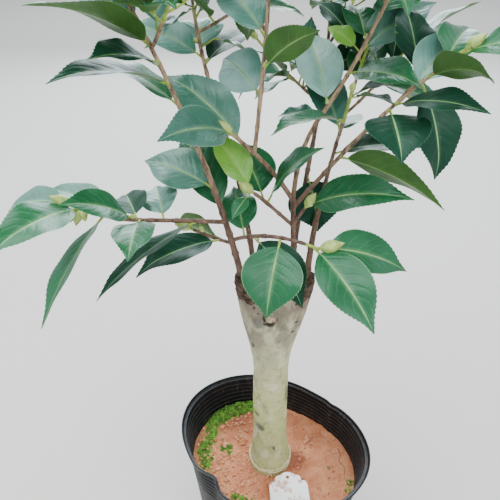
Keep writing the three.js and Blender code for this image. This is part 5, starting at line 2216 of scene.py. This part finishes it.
@dataclass
class Moss:
    """Moss in cushions of small tufts. A patch has a heading, a place out, a size and a height."""

    palette: Palette
    soil: Soil
    tufts: int = 12000
    bald: float = -0.32
    edge_loss: float = 0.55
    dark_share: float = 0.25
    patches: tuple = (
        (100, 0.93, 9, 7), (108, 0.92, 10, 8), (117, 0.92, 11, 9), (126, 0.93, 11, 8), (135, 0.93, 10, 6),
        (144, 0.92, 8, 4.5), (150, 0.87, 7, 3.6), (157, 0.83, 7, 3), (164, 0.86, 7, 2.6), (171, 0.86, 8, 2.4),
        (178, 0.84, 8, 2), (186, 0.86, 6, 1.4), (164, 0.64, 4, 1.8), (160, 0.57, 4.6, 2.4), (168, 0.54, 4, 2),
        (-131, 0.77, 5, 1.4), (-122, 0.74, 6, 1.8), (-112, 0.68, 5, 1.2), (-118, 0.84, 8, 2.2),
        (-104, 0.82, 7, 2), (-20, 0.96, 5, 0.9), (-27, 0.95, 4, 0.7), (-10, 0.7, 1.8, 0.8),
    )

    def build(self) -> Piece:
        """Grow the tufts over the patches, each a small cone of few faces.

        Returns:
            The piece.
        """
        stock = Stock()
        random = Stream(31)
        areas = np.array([r * r for _, _, r, _ in self.patches], float)
        counts = np.maximum(20, self.tufts * areas / areas.sum()).astype(int)
        for (angle, out, radius, height), count in zip(self.patches, counts):
            cx, cy = self.soil.pressed(out * math.cos(angle * DEG), out * math.sin(angle * DEG))
            for _ in range(count):
                a, r = random.between(0, 2 * math.pi), radius * 1.25 * math.sqrt(random())
                x, y = cx + r * math.cos(a), cy + r * math.sin(a)
                away = math.hypot(x, y)
                limit = math.hypot(*self.soil.pressed(x / away, y / away)) - 1.0
                if away > limit:
                    x, y = x * limit / away, y * limit / away
                rough = noise.noise(Vector((x / 4, y / 4, 1)))
                dome = height * max(0.0, 1 - (r / (radius * 1.3)) ** 2) * (0.8 + 0.5 * rough)
                if rough < self.bald or (r > radius and random() < self.edge_loss):
                    continue
                self._tuft(stock, self.soil.spot(x, y, dome * 0.75 - 0.5), 0.45 + 0.55 * random(), random)
        finishes = [self.palette.moss, self.palette.moss_dark]
        return hang(stock.build("moss_cushion", finishes, 80), "moss", "moss")

    def _tuft(self, stock: Stock, base: Array, size: float, random: Stream) -> None:
        """Add one tuft: a squat four-sided bud with a closed foot.

        Args:
            stock: Where it goes.
            base: Its foot.
            size: Its size.
            random: Turns and leans it.
        """
        turns = np.arange(4) * math.pi / 2 + random.between(0, 6)
        lean = np.array([random.between(-0.5, 0.5), random.between(-0.5, 0.5), 0]) * size
        ring = np.stack([np.cos(turns), np.sin(turns), np.zeros(4)], 1)
        foot, crown = base + ring * size * 0.8 - [0, 0, size * 0.8], base + ring * size * 1.05 + lean * 0.4
        points = np.concatenate([foot, crown, [base + lean + [0, 0, size * 1.5]]])
        k, nxt, top = np.arange(4), (np.arange(4) + 1) % 4, np.full(4, 8)
        walls = np.stack([k, nxt, nxt + 4, k + 4], 1)
        roof = np.stack([k + 4, nxt + 4, top, top], 1)
        stock.add(points, np.concatenate([walls, roof, [[3, 2, 1, 0]]]), int(random() < self.dark_share))


@dataclass
class Tag:
    """A blank plant tag with a stepped round top and a hole, leaning on the stem's foot."""

    palette: Palette
    width: float = 45.0
    length: float = 50.0
    shoulder: float = -17.0
    hole: tuple = (-6.2, 2.3)
    x: float = 16.0
    y: float = -28.0
    tilt: float = 11.0
    turn: float = 4.0

    @staticmethod
    def _arc(cx: float, cy: float, r: float, low: float, high: float, count: int) -> list[tuple]:
        """Give points on an arc between two angles."""
        turns = np.linspace(low, high, count) * DEG
        return [(cx + r * math.cos(a), cy + r * math.sin(a)) for a in turns]

    def outline(self) -> list[tuple[float, float]]:
        """Draw the tag's outline, its top with two steps on each side.

        Returns:
            Its points in order.
        """
        half = self.width / 2
        right = self._arc(half - 5.5, -16.5, 5.5, -6, 88, 9) + self._arc(half - 12.5, -9.5, 5.6, -28, 82, 9)
        points = [(-half, -self.length), (half, -self.length), (half, self.shoulder), *right]
        points += self._arc(0.0, -11.5, 11.5, 42, 138, 15)
        return points + [(-x, y) for x, y in reversed(right)] + [(-half, self.shoulder)]

    def build(self) -> Piece:
        """Build the tag from a flat curve with a hole in it.

        Returns:
            The piece.
        """
        flat = bpy.data.curves.new("plant_tag", "CURVE")
        flat.dimensions, flat.fill_mode = "2D", "BOTH"
        for loop in (self.outline(), self._arc(0, *self.hole, 0, 345, 24)):
            line = flat.splines.new("POLY")
            line.points.add(len(loop) - 1)
            for point, (x, y) in zip(line.points, loop):
                point.co = (x * MM, y * MM, 0, 1)
            line.use_cyclic_u = True
        flat.extrude, flat.bevel_depth, flat.bevel_resolution = 0.25 * MM, 0.2 * MM, 2
        drawn = bpy.data.objects.new("plant_tag", flat)
        bpy.context.scene.collection.objects.link(drawn)
        alone(drawn)
        bpy.ops.object.convert(target="MESH")
        piece = bpy.context.object
        self._lay(piece)
        piece.data.materials.clear()
        piece.data.materials.append(self.palette.tag)
        smooth_piece(piece, 30)
        return hang(piece, "tag", "tag")

    def _lay(self, piece: Piece) -> None:
        """Tilt the tag on the soil and bow it slightly.

        Args:
            piece: The flat tag.
        """
        low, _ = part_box("tag")
        tilt, turn = Matrix.Rotation(self.tilt * DEG, 3, "X"), Matrix.Rotation(self.turn * DEG, 3, "Z")
        place = Vector((self.x, self.y, low[2] / MM + self.length * math.sin(self.tilt * DEG) + 1.2))
        for vertex in piece.data.vertices:
            p = vertex.co / MM
            p.z += 0.8 * math.cos(p.x / 24 * 1.4) + 0.45
            vertex.co = (turn @ tilt @ p + place) * MM


@dataclass
class StringTie:
    """Two strands of pale string round the foot of the stem, with a small knot."""

    palette: Palette
    height: float = 14.0
    slope: float = 5.0
    strand: float = 0.75
    knots: tuple = ((0, 0, 0), (1.4, 0.2, 0.5), (-1.2, 0.2, -0.4))
    ends: tuple = ((3.5, -1.5, -6), (-2.5, -2, -7))

    def build(self) -> Piece:
        """Build the strands, the knot and its two ends.

        Returns:
            The piece.
        """
        stock = Stock()
        for k in (-1, 1):
            points = []
            for a in np.linspace(0, 2 * math.pi, 121):
                height = self.height + self.slope * math.sin(a) + k * (0.9 + 0.9 * math.cos(a + 0.6))
                radius = STEM.size(height)[0] + 1.2 + 0.15 * math.sin(7 * a + k)
                points.append([STEM.x + STEM.middle(height) + radius * math.cos(a), radius * math.sin(a),
                               STEM.foot + height])
            tube(stock, np.array(points), np.full(len(points), self.strand), 8)
        front = np.array([STEM.x - 2, -(STEM.size(10)[0] + 1.8), STEM.foot + self.height - self.slope])
        random = Stream(8)
        for shift in self.knots:
            add_pebble(stock, front + shift, 1.3, random)
        for way in self.ends:
            bend = front + np.array(way) * 0.5 + [0, -0.6, 0.4]
            tube(stock, np.array([front, bend, front + way]), np.full(3, 0.6), 6)
        return hang(stock.build("string_tie", [self.palette.string], 60), "tie", "tie")


@dataclass
class Studio:
    """A plain pale floor, soft light and the photograph's camera."""

    focal: float = 560.0
    picture: float = 500.0
    pitch: float = 29.5
    place: tuple = (-0.028, -0.480, 0.715)
    sky: tuple = (0.84, 0.94, 1.0, 1)
    sky_strength: float = 1.2
    lamps: tuple = (
        ("sky", (-0.5, -0.1, 2.5), (0, 0, 0.4), 2.2, 88, (1.0, 0.99, 0.97)),
        ("back_sky", (0.1, 2.6, 2.0), (0, 0, 0.5), 2.6, 120, (0.82, 0.94, 1.0)),
        ("far", (0, 5.2, 3.0), (0, 5.2, 0), 4.0, 110, (1.0, 1.0, 1.0)),
        ("front", (1.0, -1.8, 1.5), (0, 0, 0.4), 1.4, 30, (1.0, 0.97, 0.92)),
    )

    def camera(self) -> None:
        """Set up the camera."""
        data = bpy.data.cameras.new("camera")
        data.sensor_width = 36.0
        data.lens = data.sensor_width * self.focal / self.picture
        data.clip_start = 0.02
        camera = bpy.data.objects.new("camera", data)
        bpy.context.scene.collection.objects.link(camera)
        camera.location = self.place
        camera.rotation_euler = ((90 - self.pitch) * DEG, 0, 0)
        bpy.context.scene.camera = camera

    def floor(self) -> None:
        """Lay the floor."""
        bpy.ops.object.select_all(action="DESELECT")
        bpy.ops.mesh.primitive_plane_add(size=40, location=(0, 0, -0.0006))
        floor = bpy.context.object
        floor.name = "floor"
        floor.data.materials.append(Graph("floor_paper").paint(rgb(196, 192, 188), 0.9))

    def light(self, name: str, place: tuple, aim: tuple, size: float, watts: float, colour: tuple) -> None:
        """Hang one soft light.

        Args:
            name: Its name.
            place: Where it hangs.
            aim: What it points at.
            size: The side of its square.
            watts: Its power.
            colour: Its colour.
        """
        data = bpy.data.lights.new(name, "AREA")
        data.shape, data.size, data.energy, data.color = "SQUARE", size, watts, colour
        lamp = bpy.data.objects.new(name, data)
        bpy.context.scene.collection.objects.link(lamp)
        lamp.location = place
        lamp.rotation_euler = (Vector(aim) - Vector(place)).to_track_quat("-Z", "Y").to_euler()

    def build(self) -> None:
        """Set up the whole studio."""
        self.camera()
        self.floor()
        world = bpy.data.worlds.new("studio")
        world.use_nodes = True
        background = world.node_tree.nodes["Background"]
        background.inputs[0].default_value = self.sky
        background.inputs[1].default_value = self.sky_strength
        bpy.context.scene.world = world
        for lamp in self.lamps:
            self.light(*lamp)


def main() -> None:
    """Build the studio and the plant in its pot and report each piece."""
    Studio().build()
    palette = Palette()
    pot = Pot(palette)
    pieces = [pot.build()]
    soil = Soil(palette, pot)
    pieces += soil.build()
    pieces += [Moss(palette, soil).build(), Tag(palette).build(), StringTie(palette).build()]
    pieces.append(OldStem(palette).build())
    shrub = Shrub()
    wood, leaves = Wood(palette), Leaves(palette)
    pieces += wood.boughs(shrub)
    for mass, spurs in zip(shrub.masses, shrub.spurs):
        pieces += [leaves.build(mass), wood.twigs(mass, spurs), wood.buds(mass)]
    for piece in pieces:
        LOG.info("%s: %d faces", piece.name, len(piece.data.polygons))
    LOG.info("leaves: %d", sum(len(mass.leaves) for mass in shrub.masses))
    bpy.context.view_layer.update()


if __name__ == "__main__":
    main()
